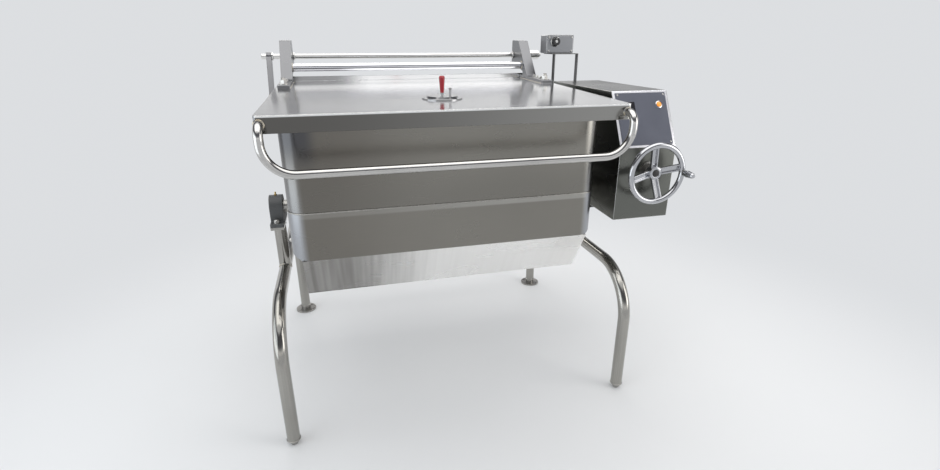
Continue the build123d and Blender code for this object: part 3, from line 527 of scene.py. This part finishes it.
spin = add_node(bolt_tree, "FunctionNodeRandomValue", {2: 0.0, 3: 1.05, "Seed": given["Seed"]})
spin = add_node(bolt_tree, "ShaderNodeCombineXYZ", {"Z": spin.outputs[1]})
spin = add_node(bolt_tree, "FunctionNodeEulerToRotation", {0: spin.outputs[0]})
lean = add_node(bolt_tree, "FunctionNodeRotateRotation", {0: lean.outputs[0], 1: spin.outputs[0]},
                rotation_space="LOCAL")
heads = add_node(bolt_tree, "GeometryNodeInstanceOnPoints",
                 {0: given["Geometry"], "Instance": whole.outputs[0], "Rotation": lean.outputs[0]})
end_tree(bolt_tree, heads.outputs[0], given["Finish"])


def bolt_heads(name, body, places, width, height, sides=6, washer=1.3, dome=0.35, seed=1,
               slot="bright_steel"):
    """Heads at (place, way) pairs, each facing its way: hexagons, or round with more sides."""
    mesh = bpy.data.meshes.new(name)
    mesh.from_pydata([tuple(spot) for spot, _ in places], [], [])
    ways = mesh.attributes.new("facing", "FLOAT_VECTOR", "POINT")
    ways.data.foreach_set("vector", [part for _, way in places for part in Vector(way).normalized()])
    return grown(name, mesh, bolt_tree, bolt_keys, body, slot, Sides=sides,
                 Head_width=width, Head_height=height, Washer_width=width * washer,
                 Washer_height=height * 0.22, Dome=dome, Seed=seed, Finish=bolt_finish)


def circle_of(centre, way, across, radius, first, step, count):
    """Places on a circle, in degrees from one side, and the way that they face."""
    turns = [math.radians(first + step * k) for k in range(count)]
    return [(Vector(centre) + radius * (math.cos(t) * Vector(across) + math.sin(t) * Vector((0, 0, 1))), way)
            for t in turns]


bolt_inset, base_plate = 0.014, 0.012
places = []
for node in ("trunnion_bearing_left", "trunnion_bearing_right"):
    low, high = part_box(node)
    for y in (low.y + bolt_inset, high.y - bolt_inset):
        places.append((((low.x + high.x) / 2, y, low.z + base_plate), (0, 0, 1)))
bolt_heads("bearing_bolts", "frame", places, 0.017, 0.008)
axle = middle_of("trunnion_right")
case_face = (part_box("gear_case")[1].x, axle.y, axle.z)
bolt_heads("gear_case_bolts", "frame", circle_of(case_face, (1, 0, 0), (0, 1, 0), 0.074, -198, 54, 5),
           0.011, 0.003, dome=0.15, seed=2)


# The pan and the heater jacket under it: thick stainless sheet, satin-ground lengthwise, with
# round corners and a dressed weld along the seam between them. The round corners carry a
# painted highlight. The folded band below the knee is painted brighter, from dark at its left
# to near white at its right, with vertical streaks: a painted reflection of the lit floor.
def along(tree, axis, start, stop, first=0.0, last=1.0):
    """A value that goes smoothly from first to last between two places on an axis."""
    spot = axes_of(tree, "Object")[axis]
    return scaled(tree, spot, start, stop, first, last, interpolation_type="SMOOTHSTEP")


def times(tree, first, second):
    """The product of two values, kept between 0 and 1."""
    return worked(tree, "MULTIPLY", first, second, clamp=True)


def facing(tree, way):
    """1 where the surface faces one way, and 0 elsewhere."""
    place = add_node(tree, "ShaderNodeTexCoord")
    return scaled(tree, agreement(tree, place.outputs["Normal"], way), 0.9, 0.97)


def looks_at(tree, spot):
    """1 on the faces of a vessel that look towards a place above it: its inside."""
    place = add_node(tree, "ShaderNodeTexCoord")
    back = add_node(tree, "ShaderNodeVectorMath", {0: place.outputs["Object"], 1: spot}, operation="SUBTRACT")
    return scaled(tree, agreement(tree, place.outputs["Normal"], back.outputs[0]), -0.02, -0.1)


def round_corners(tree):
    """1 on the upright round corners, where a painted highlight is laid."""
    way = axes_of(tree, "Normal")
    return scaled(tree, worked(tree, "ABSOLUTE", worked(tree, "MULTIPLY", way["X"], way["Y"])), 0.1, 0.42)


def laid_over(finish, share, colour):
    """Lays another colour over a finish, as far as the share says."""
    shader = finish.node_tree.nodes["Principled BSDF"]
    under = shader.inputs["Base Color"].links[0].from_socket
    vary(shader, Base_Color=blended(finish.node_tree, share, under, colour))


def sheet_finish(name, colour, roughness, left=None, patchy=0.06, wave=0.12, edge_radius=0.0016, glint=0.3):
    """Satin-ground sheet with a painted highlight along its edges, as strong as glint says. It
    may be painted darker towards the left, a painted shade, where a left colour is given."""
    finish, tree, shader = new_finish(name, Metallic=1.0)
    across = scaled(tree, worked(tree, "ABSOLUTE", axes_of(tree, "Normal")["X"]), 0.6, 0.8)
    grain = add_node(tree, "ShaderNodeMix", {"Factor": across, 2: noise(tree, 1.0, 2.0, (12, 900, 900)),
                                             3: noise(tree, 1.0, 2.0, (900, 12, 900))}).outputs[0]
    cloud, swell = noise(tree, 2.6, 2.0), noise(tree, 3.2, 0.0)
    wipe = noise(tree, 1.6, 2.5, (2.5, 2.5, 7.0))
    tone = scaled(tree, worked(tree, "MULTIPLY_ADD", grain, 0.2, cloud), 0.38, 0.82, 1 - patchy, 1 + patchy)
    base = colour
    # Painted shade: the colour darkens towards the left, between x -0.47 and -0.08.
    if left is not None:
        base = blended(tree, along(tree, "X", -0.47, -0.08), (*left, 1), (*colour, 1))
    uneven = add_node(tree, "ShaderNodeVectorMath", {0: base, "Scale": tone}, operation="SCALE")
    # A painted highlight along the edges, found from the rounded normal.
    edge = soft_edge(tree, edge_radius)
    edge_wear_and_glint = worked(tree, "MULTIPLY", near_edge(tree, edge), glint)
    vary(shader, Base_Color=blended(tree, edge_wear_and_glint, uneven.outputs[0], (0.85, 0.85, 0.84, 1)),
         Roughness=scaled(tree, wipe, 0.3, 0.7, roughness * 0.88, roughness * 1.15),
         Normal=bump(tree, 0.04, 0.00005, grain, bump(tree, wave, 0.003, swell, edge)))
    return finish


jacket_low, jacket_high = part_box("heater_jacket")
rail_low, rail_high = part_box("hinge_rail")
jacket, seam_z = middle_of("heater_jacket"), jacket_high.z
pan_x = jacket.x
# Painted shade: the pan sheet is painted darker towards its left.
pan_sheet = sheet_finish("pan_sheet", (0.265, 0.254, 0.229), 0.26, left=(0.18, 0.168, 0.149))
tree = pan_sheet.node_tree
# Painted shade under the lid's overhang: the pan is darker towards its top.
laid_over(pan_sheet, along(tree, "Z", seam_z + 0.17, seam_z, 0.0, 0.4), (0.17, 0.163, 0.148, 1))
# Painted highlight on the pan's round corners, stronger towards the seam.
painted_corner_highlight = times(tree, round_corners(tree), along(tree, "Z", seam_z + 0.2, seam_z, 0.1, 0.5))
laid_over(pan_sheet, painted_corner_highlight, (0.4, 0.41, 0.43, 1))
# A painted dark reflection at the pan's upper left end.
painted_dark_end = times(tree, along(tree, "X", -0.43, -0.47), along(tree, "Z", seam_z + 0.08, seam_z + 0.2))
laid_over(pan_sheet, painted_dark_end, (0.1, 0.1, 0.105, 1))
laid_over(pan_sheet, looks_at(tree, (pan_x, jacket.y, seam_z + 0.8)), (0.58, 0.57, 0.55, 1))
dress(pan_sheet, "pan_shell", "hinge_rail")

knee = jacket_low.z + 0.134
# Painted shade: the jacket sheet is painted darker towards its left.
jacket_sheet = sheet_finish("jacket_sheet", (0.252, 0.241, 0.217), 0.28, left=(0.205, 0.193, 0.172))
tree = jacket_sheet.node_tree
# Painted reflection of the lit floor on the band below the knee: dark at its left, near white at its right,
# with painted vertical streaks towards its left.
painted_band_streaks = scaled(tree, noise(tree, 1.0, 1.0, (60, 3, 3)), 0.3, 0.7, -0.1, 0.1)
painted_band_streaks = worked(tree, "MULTIPLY", painted_band_streaks, along(tree, "X", -0.25, 0.0, 1.0, 0.3))
bright = worked(tree, "ADD", along(tree, "X", -0.42, -0.1, 0.12, 1.0), painted_band_streaks, clamp=True)
painted_band_reflection = blended(tree, bright, (0.26, 0.25, 0.238, 1), (1.0, 0.99, 0.97, 1))
# Painted highlight: a lighter strip just below the seam, brighter towards the right.
painted_seam_highlight = times(tree, along(tree, "Z", seam_z - 0.017, seam_z - 0.011), along(tree, "X", -0.4, 0.1, 0.35, 0.8))
laid_over(jacket_sheet, painted_seam_highlight, (0.4, 0.39, 0.365, 1))
# Painted highlight on the jacket's round corners.
laid_over(jacket_sheet, round_corners(tree), (0.38, 0.39, 0.41, 1))
laid_over(jacket_sheet, along(tree, "Z", knee + 0.0008, knee - 0.0008), painted_band_reflection)
dress(jacket_sheet, "heater_jacket", "jacket_floor")

flange_finish = tube_finish("turned_flange", (0.42, 0.41, 0.39), 0.26, (500, 60, 60))
dress(flange_finish, "trunnion_left", "trunnion_right")
flange_radius, flange_plate = 0.054, 0.008
sides = ((-1, jacket_low.x), (1, jacket_high.x))
pan_beads = [ring_line((face, axle.y, axle.z), (1, 0, 0), flange_radius) for _, face in sides]
foot_back, foot_length = 0.019, 0.018
for node in ("hinge_bracket_left", "hinge_bracket_right"):
    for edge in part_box(node):
        pan_beads.append([Vector((edge.x, rail_high.y - foot_back + foot_length * k / 6, rail_high.z))
                          for k in range(7)])
corner = 0.052
reach = (jacket_high.x - jacket_low.x) / 2 - corner
for z in (rail_low.z, rail_high.z):
    pan_beads.append([Vector((pan_x + reach * (k / 30 - 1), rail_low.y, z)) for k in range(61)])
bead_lines("pan_welds", "pan", "sheet_steel", pan_beads, seed=2.0)
seam, round_radius = [], corner - 0.0012
for x, y, first in (
    (jacket_high.x - corner, jacket_low.y + corner, -90), (jacket_high.x - corner, jacket_high.y - corner, 0),
    (jacket_low.x + corner, jacket_high.y - corner, 90), (jacket_low.x + corner, jacket_low.y + corner, 180),
):
    for k in range(9):
        turn = math.radians(first + 90 * k / 8)
        seam.append(Vector((x + round_radius * math.cos(turn), y + round_radius * math.sin(turn), seam_z)))
seam_finish = tube_finish("dressed_seam", (0.42, 0.41, 0.385), 0.3, (60, 60, 60))
bead_lines("jacket_seam", "pan", "sheet_steel", [seam + [seam[0]]], radius=0.0022, ripple=0.02, wander=0.05,
           seed=5.0, finish=seam_finish)
places = []
for way, face in sides:
    flange_face = (face + way * flange_plate, axle.y, axle.z)
    places += circle_of(flange_face, (way, 0, 0), (0, 1, 0), 0.04, 30, 60, 6)
bolt_heads("trunnion_bolts", "pan", places, 0.013, 0.007, seed=3)
places = [((face, jacket_low.y + 0.075, knee + 0.04), (way, 0, 0)) for way, face in sides]
bolt_heads("jacket_side_bolts", "pan", places, 0.012, 0.005, seed=6)
low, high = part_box("jacket_floor")
from_end, from_edge = 0.03, 0.018
places = []
for k in range(5):
    x = low.x + from_end + (high.x - low.x - 2 * from_end) * k / 4
    places += [((x, y, low.z), (0, 0, -1)) for y in (low.y + from_edge, high.y - from_edge)]
bolt_heads("jacket_floor_screws", "pan", places, 0.009, 0.002, sides=24, dome=0.4, seed=7)


# The lid hinge: a polished tube between two brackets, with a plug at its left end and a drum
# that guards the spring's end at its right, and a steel collar beside each lid arm.
def rounded_plates(name, body, finish, plates, corner=0.004, bevel=0.0005):
    """Thin plates with round corners. Each is a centre, the way it faces, the way its height
    runs, and its width, height and thickness."""
    shape = bmesh.new()
    for centre, face, up, width, height, thickness in plates:
        face, up = Vector(face).normalized(), Vector(up).normalized()
        side = up.cross(face)
        loops = []
        for level, inset in ((-0.0004, 0.0), (thickness - bevel, 0.0), (thickness, bevel)):
            loop = []
            for right, rise, first in ((1, 1, 0), (-1, 1, 90), (-1, -1, 180), (1, -1, 270)):
                for k in range(6):
                    turn = math.radians(first + 18 * k)
                    wide = right * (width / 2 - corner) + (corner - inset) * math.cos(turn)
                    tall = rise * (height / 2 - corner) + (corner - inset) * math.sin(turn)
                    loop.append(shape.verts.new(Vector(centre) + wide * side + tall * up + level * face))
            loops.append(loop)
        for low, high in zip(loops, loops[1:]):
            for k in range(len(low)):
                after = (k + 1) % len(low)
                shape.faces.new((low[k], low[after], high[after], high[k]))
        shape.faces.new(loops[0])
        shape.faces.new(loops[-1])
    return keep_piece(name, shape, body, finish)


hinge_finish = tube_finish("polished_tube", (0.74, 0.735, 0.72), 0.12, (6, 260, 260))
plate_finish = sheet_finish("plate_steel", (0.21, 0.212, 0.22), 0.28, wave=0.02)
dress(hinge_finish, "hinge_tube", "hinge_cap_left", "hinge_cap_right")
dress(plate_finish, "hinge_bracket_left", "hinge_bracket_right")
rail, hinge = middle_of("hinge_rail"), middle_of("hinge_tube")
rounded_plates("rail_ends", "pan", pan_sheet, [
    ((x, rail.y, rail.z), (way, 0, 0), (0, 0, 1), 0.037, 0.047, 0.0015)
    for way, x in ((-1, rail_low.x), (1, rail_high.x))
], corner=0.003)
collar_width, play = 0.006, 0.0005
collar = [(0.0096, 0.0), (0.0138, 0.0), (0.0146, 0.0008), (0.0146, collar_width - 0.0008),
          (0.0138, collar_width), (0.0096, collar_width), (0.0096, 0.0)]
turned = [(collar, (face - way * (collar_width + play), hinge.y, hinge.z), (way, 0, 0))
          for way, face in ((-1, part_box("lid_arm_left")[1].x), (1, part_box("lid_arm_right")[0].x))]
turned.append((collar, (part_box("hinge_bracket_left")[1].x + play, hinge.y, hinge.z), (1, 0, 0)))
lathed("hinge_collars", "pan", hinge_finish, turned)
bolt_heads("hinge_end_bolts", "pan", [((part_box("hinge_cap_right")[1].x, hinge.y, hinge.z), (1, 0, 0))],
           0.017, 0.006, dome=0.3, seed=8)


# The lid: a shallow folded tray of satin stainless that rises slightly to its turned-up rear
# edge. A bent tube is welded across its front, and two folded channels with a tube between
# them carry it from the hinge. Each channel is held by a stud with a nut, and by small bolts.
slope = math.radians(1.6)
lid_depth, rear_edge = 0.78, 0.017
lid_low, lid_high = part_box("lid_panel")
lid_front_top = lid_high.z - lid_depth * math.sin(slope) - rear_edge * math.cos(slope)
fold = lid_front_top - 0.0045
# Painted shade: the lid sheet is painted darker towards its left.
lid_sheet = sheet_finish("lid_sheet", (0.44, 0.445, 0.457), 0.15, left=(0.22, 0.222, 0.23), patchy=0.05,
                         wave=0.05, edge_radius=0.003, glint=0.7)
tree = lid_sheet.node_tree
# Painted reflection: the rear middle of the lid top is painted near white.
rear = times(tree, along(tree, "Y", lid_low.y + 0.25, lid_high.y - 0.15),
             along(tree, "X", -0.38, -0.24, 0.3, 1.0))
laid_over(lid_sheet, rear, (1.0, 1.0, 1.0, 1))
# Painted light on the front skirt: painted shade, darker at its left and lighter at its right, and a painted
# highlight in a thin line along its top edge.
front = blended(tree, along(tree, "X", -0.5, 0.4), (0.135, 0.13, 0.122, 1), (0.32, 0.315, 0.3, 1))
front = blended(tree, along(tree, "Z", fold - 0.001, fold + 0.001), front, (0.9, 0.9, 0.89, 1))
skirt = times(tree, facing(tree, (0, -1, 0)), along(tree, "Y", lid_low.y + 0.1, lid_low.y + 0.05))
laid_over(lid_sheet, skirt, front)
handle_finish = tube_finish("handle_tube", (0.57, 0.56, 0.545), 0.15, (6, 260, 260))
cross_finish = tube_finish("cross_tube", (0.74, 0.745, 0.78), 0.14, (6, 260, 260))
dress(lid_sheet, "lid_panel")
dress(handle_finish, "lid_handle")
dress(cross_finish, "lid_cross_tube")
dress(plate_finish, "lid_arm_left", "lid_arm_right")


def on_lid(x, back, up):
    """A place on the sloping lid: how far back from its front edge, and up from its top."""
    return Vector((x, lid_low.y + back * math.cos(slope) - up * math.sin(slope),
                   lid_front_top + back * math.sin(slope) + up * math.cos(slope)))


lid_up = Vector((0, -math.sin(slope), math.cos(slope)))
handle_low, handle_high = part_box("lid_handle")
handle_radius, handle_drop = 0.011, 0.021
lid_beads = [ring_line(on_lid(x, -0.0004, -handle_drop), (0, 1, 0), handle_radius + 0.0002)
             for x in (handle_low.x + handle_radius, handle_high.x - handle_radius)]
cross = middle_of("lid_cross_tube")
lid_beads += [ring_line((end.x, cross.y, cross.z), (1, 0, 0), 0.0142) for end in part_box("lid_cross_tube")]
bead_lines("lid_welds", "lid", "bright_steel", lid_beads, seed=3.0)
stud_back, screw_backs = 0.556, (0.597, 0.63, 0.663)
foot_top, foot_start, foot_length = 0.012, 0.54, 0.225
thread, pitch = [(0.0, 0.0)], 0.0018
for k in range(11):
    thread += [(0.0065, pitch * k + 0.0002), (0.0058, pitch * k + 0.0011)]
thread += [(0.0055, 0.0205), (0.0, 0.0208)]
nuts, screws, threads, foot_beads = [], [], [], []
for node in ("lid_arm_left", "lid_arm_right"):
    x = middle_of(node).x
    nuts.append((on_lid(x, stud_back, foot_top), lid_up))
    threads.append((thread, on_lid(x, stud_back, foot_top + 0.0015), lid_up))
    screws += [(on_lid(x, back, foot_top), lid_up) for back in screw_backs]
    foot_beads += [[on_lid(edge.x, foot_start + foot_length * k / 30, 0.0) for k in range(31)]
                   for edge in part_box(node)]
bolt_heads("arm_stud_nuts", "lid", nuts, 0.023, 0.0115, dome=0.05, seed=4)
lathed("arm_stud_threads", "lid", bolt_finish, threads, steps=24)
bolt_heads("arm_foot_bolts", "lid", screws, 0.0105, 0.005, dome=0.7, seed=9)
bead_lines("arm_foot_welds", "lid", "bright_steel", foot_beads, radius=0.0012, ripple=0.003, seed=6.0)


# The vent in the lid: a round plate and cover disc of bright steel with a tapered red knob
# on its stem and a stop stud beside it.
def plastic_finish(name, colour, roughness, coat=0.0):
    """Moulded plastic: even colour with faint flow, and a fine uneven gloss."""
    finish, tree, shader = new_finish(name, Coat_Weight=coat, Coat_Roughness=0.08)
    flow = noise(tree, 60.0, 4.0)
    vary(shader, Base_Color=blended(tree, flow, toned(colour, 0.82), toned(colour, 1.12)),
         Roughness=scaled(tree, flow, 0.0, 1.0, roughness * 0.8, roughness * 1.25),
         Normal=bump(tree, 0.1, 0.0003, flow, soft_edge(tree, 0.0006, samples=4)))
    return finish


vent_steel = tube_finish("turned_disc", (0.42, 0.42, 0.425), 0.18, (300, 300, 20))
dress(vent_steel, "vent_plate", "vent_cover")
dress(plastic_finish("red_knob", (0.4, 0.01, 0.022), 0.22, coat=0.5), "vent_knob")
vent_back, cover_top = 0.212, 0.0124
ferrule = [(0.0, 0.0), (0.0052, 0.0), (0.006, 0.0008), (0.006, 0.0032), (0.0048, 0.004), (0.0, 0.004)]
cap = [(0.0, 0.0), (0.0048, 0.0), (0.0052, 0.0012), (0.0046, 0.003), (0.0024, 0.0044), (0.0, 0.0048)]
lathed("vent_fittings", "lid", vent_steel, [
    (ferrule, on_lid(pan_x, vent_back, cover_top), lid_up),
    (cap, on_lid(pan_x + 0.024, vent_back, cover_top + 0.0121), lid_up),
], steps=24)


# The console: a folded sheet housing that stands on the gear case, with a plain lower front
# and a sloping face whose rim frames the control panel; that rim has a painted highlight.
# Screws hold its right side, and its rear has a screwed service cover.
console_sheet = sheet_finish("console_sheet", (0.16, 0.164, 0.15), 0.27, wave=0.05, edge_radius=0.003,
                             glint=0.6)
dress(console_sheet, "console_body")
console_low, console_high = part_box("console_body")
console_x = middle_of("console_body").x
panel_run, panel_foot = 0.086, 0.829
panel_rise = console_high.z - panel_foot
panel_up = Vector((0, panel_run, panel_rise)).normalized()
panel_out = Vector((0, -panel_rise, panel_run)).normalized()
# Painted shade darkens the top faces, and a painted highlight lightens the sloping rim.
laid_over(console_sheet, facing(console_sheet.node_tree, (0, 0, 1)), (0.07, 0.072, 0.072, 1))
laid_over(console_sheet, facing(console_sheet.node_tree, panel_out), (0.88, 0.88, 0.92, 1))
cover_z, cover_sheet = 0.842, 0.0014
rounded_plates("console_rear_cover", "frame", console_sheet, [
    ((console_x, console_high.y, cover_z), (0, 1, 0), (0, 0, 1), 0.15, 0.23, cover_sheet)
], corner=0.008)
places = [((console_x + x, console_high.y + cover_sheet, cover_z + z), (0, 1, 0))
          for x in (-0.066, 0.066) for z in (-0.105, 0.0, 0.105)]
for y, z in ((0.022, 0.03), (0.022, 0.19), (0.2, 0.03), (0.36, 0.03), (0.508, 0.04), (0.508, 0.2),
             (0.508, 0.35), (0.36, 0.365), (0.2, 0.365), (0.11, 0.365)):
    places.append(((console_high.x, console_low.y + y, console_low.z + z), (1, 0, 0)))
bolt_heads("console_screws", "frame", places, 0.008, 0.0018, sides=24, washer=1.25, dome=0.4, seed=11)


# The control panel: a slate-grey film on a plate, finely textured, with a darker window in
# its upper left, and an amber pilot lamp in a bright ring at its upper right.
panel_film, tree, shader = new_finish("slate_film", Specular_IOR_Level=0.45)
velvet, film = noise(tree, 900.0, 2.0), noise(tree, 18.0, 4.0)
vary(shader, Base_Color=blended(tree, film, (0.08, 0.087, 0.115, 1), (0.108, 0.115, 0.148, 1)),
     Roughness=scaled(tree, film, 0.0, 1.0, 0.32, 0.44), Normal=bump(tree, 0.15, 0.0002, velvet))
dress(panel_film, "control_panel")
amber = plastic_finish("amber_lens", (0.9, 0.3, 0.03), 0.12, coat=0.8)
shader = amber.node_tree.nodes["Principled BSDF"]
shader.inputs["Emission Color"].default_value = (1.0, 0.36, 0.06, 1)
shader.inputs["Emission Strength"].default_value = 0.55
dress(amber, "indicator_lamp")


def on_panel(across, up, out=0.0015):
    """A place on the sloping panel, from the middle of its lower edge."""
    foot = Vector((console_x, console_low.y, panel_foot))
    return foot + Vector((across, 0, 0)) + up * panel_up + out * panel_out


lamp_up = math.hypot(panel_run, panel_rise) - 0.047
bezel = [(0.0082, 0.0), (0.0118, 0.0), (0.0122, 0.0006), (0.0114, 0.0024), (0.0098, 0.0032),
         (0.0082, 0.003), (0.0082, 0.0)]
lathed("lamp_bezel", "frame", hinge_finish, [(bezel, on_panel(0.058, lamp_up), panel_out)])
glass = plastic_finish("smoked_window", (0.012, 0.012, 0.016), 0.1, coat=0.9)
rounded_plates("panel_window", "frame", glass, [
    (on_panel(-0.047, 0.128), panel_out, panel_up, 0.044, 0.034, 0.0009)
], corner=0.003, bevel=0.0004)
places = [(on_panel(across, up), panel_out) for across in (-0.079, 0.079) for up in (0.014, 0.167)]
bolt_heads("panel_screws", "frame", places, 0.0055, 0.0009, sides=24, washer=1.05, dome=0.25, seed=12)


# The hand wheel: cast, dished and chromed, with a keyed shaft in a flanged bush, a turning
# grip on its rim and a dark recessed cap in its hub.
chrome, tree, shader = new_finish("wheel_chrome", Metallic=1.0)
pits = noise(tree, 38.0, 5.0)
vary(shader, Base_Color=blended(tree, pits, (0.43, 0.435, 0.455, 1), (0.56, 0.565, 0.585, 1)),
     Roughness=scaled(tree, pits, 0.3, 0.7, 0.04, 0.11),
     Normal=bump(tree, 0.04, 0.0006, pits, soft_edge(tree, 0.0015)))
dress(chrome, "hand_wheel", "wheel_grip")
dress(foot_finish, "wheel_shaft", "wheel_bush")
wheel, forward = middle_of("wheel_bush"), (0, -1, 0)
shaft_setback = 0.008
hub = (wheel.x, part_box("wheel_shaft")[0].y - shaft_setback, wheel.z)
boss = [(0.0185, -0.0006), (0.0185, 0.0008), (0.0165, 0.0018), (0.0125, 0.0016), (0.0112, 0.0004),
        (0.0112, -0.0006), (0.0185, -0.0006)]
lathed("hub_rim", "hand_wheel", chrome, [(boss, hub, forward)])
dark_cap = plastic_finish("dark_cap", (0.02, 0.019, 0.018), 0.35)
plug = [(0.0, 0.0), (0.0108, 0.0), (0.0108, 0.0004), (0.0075, 0.0012), (0.0, 0.0016)]
lathed("hub_cap", "hand_wheel", dark_cap, [(plug, hub, forward)])
bush_face = (wheel.x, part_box("wheel_bush")[0].y, wheel.z)
bolt_heads("bush_screws", "frame", circle_of(bush_face, forward, (1, 0, 0), 0.0215, 90, 120, 3),
           0.0065, 0.0028, dome=0.2, seed=13)
band = [(0.0059, 0.0), (0.0092, 0.0), (0.0095, 0.0008), (0.0092, 0.0016), (0.0059, 0.0016), (0.0059, 0.0)]
grip_foot = (middle_of("wheel_grip").x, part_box("wheel_grip")[1].y - 0.0035, wheel.z)
lathed("grip_washer", "hand_wheel", foot_finish, [(band, grip_foot, forward)])


# The switch box on its bracket: a small folded steel box with a screwed front, and a black
# knob in a bright ring with a bright centre.
box_finish = sheet_finish("box_sheet", (0.24, 0.245, 0.258), 0.3, wave=0.02, edge_radius=0.0025, glint=0.7)
strap_finish = sheet_finish("strap_sheet", (0.12, 0.12, 0.122), 0.34, wave=0.02)
dress(box_finish, "switch_box")
dress(strap_finish, "box_bracket")
dress(plastic_finish("black_knob", (0.018, 0.018, 0.02), 0.3), "control_knob")
box, knob = middle_of("switch_box"), middle_of("control_knob")
box_face, knob_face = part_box("switch_box")[0].y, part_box("control_knob")[0].y
cover = 0.0012
rounded_plates("box_front", "frame", box_finish, [
    ((box.x, box_face, box.z), forward, (0, 0, 1), 0.104, 0.06, cover)
], corner=0.005)
places = [((box.x + x, box_face - cover, box.z + z), forward)
          for x in (-0.046, 0.046) for z in (-0.024, 0.024)]
bolt_heads("box_screws", "frame", places, 0.0065, 0.0014, sides=24, washer=1.1, dome=0.4, seed=14)
ring = [(0.0152, 0.0), (0.019, 0.0), (0.0192, 0.0008), (0.0184, 0.0024), (0.0162, 0.003), (0.0152, 0.0026),
        (0.0152, 0.0)]
disc = [(0.0, 0.0), (0.0052, 0.0), (0.0052, 0.0004), (0.0047, 0.0008), (0.0, 0.0009)]
lathed("knob_ring", "frame", hinge_finish, [
    (ring, (knob.x, box_face - cover, knob.z), forward),
    (disc, (knob.x, knob_face, knob.z), forward),
])
pointer_white = plastic_finish("pointer_white", (0.75, 0.75, 0.73), 0.4)
rounded_plates("knob_pointer", "frame", pointer_white, [
    ((knob.x, knob_face, knob.z + 0.0102), forward, (0, 0, 1), 0.0016, 0.005, 0.0006)
], corner=0.0006, bevel=0.0002)

size = {"cad": cad_box, "visual": [list(corner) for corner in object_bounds()]}
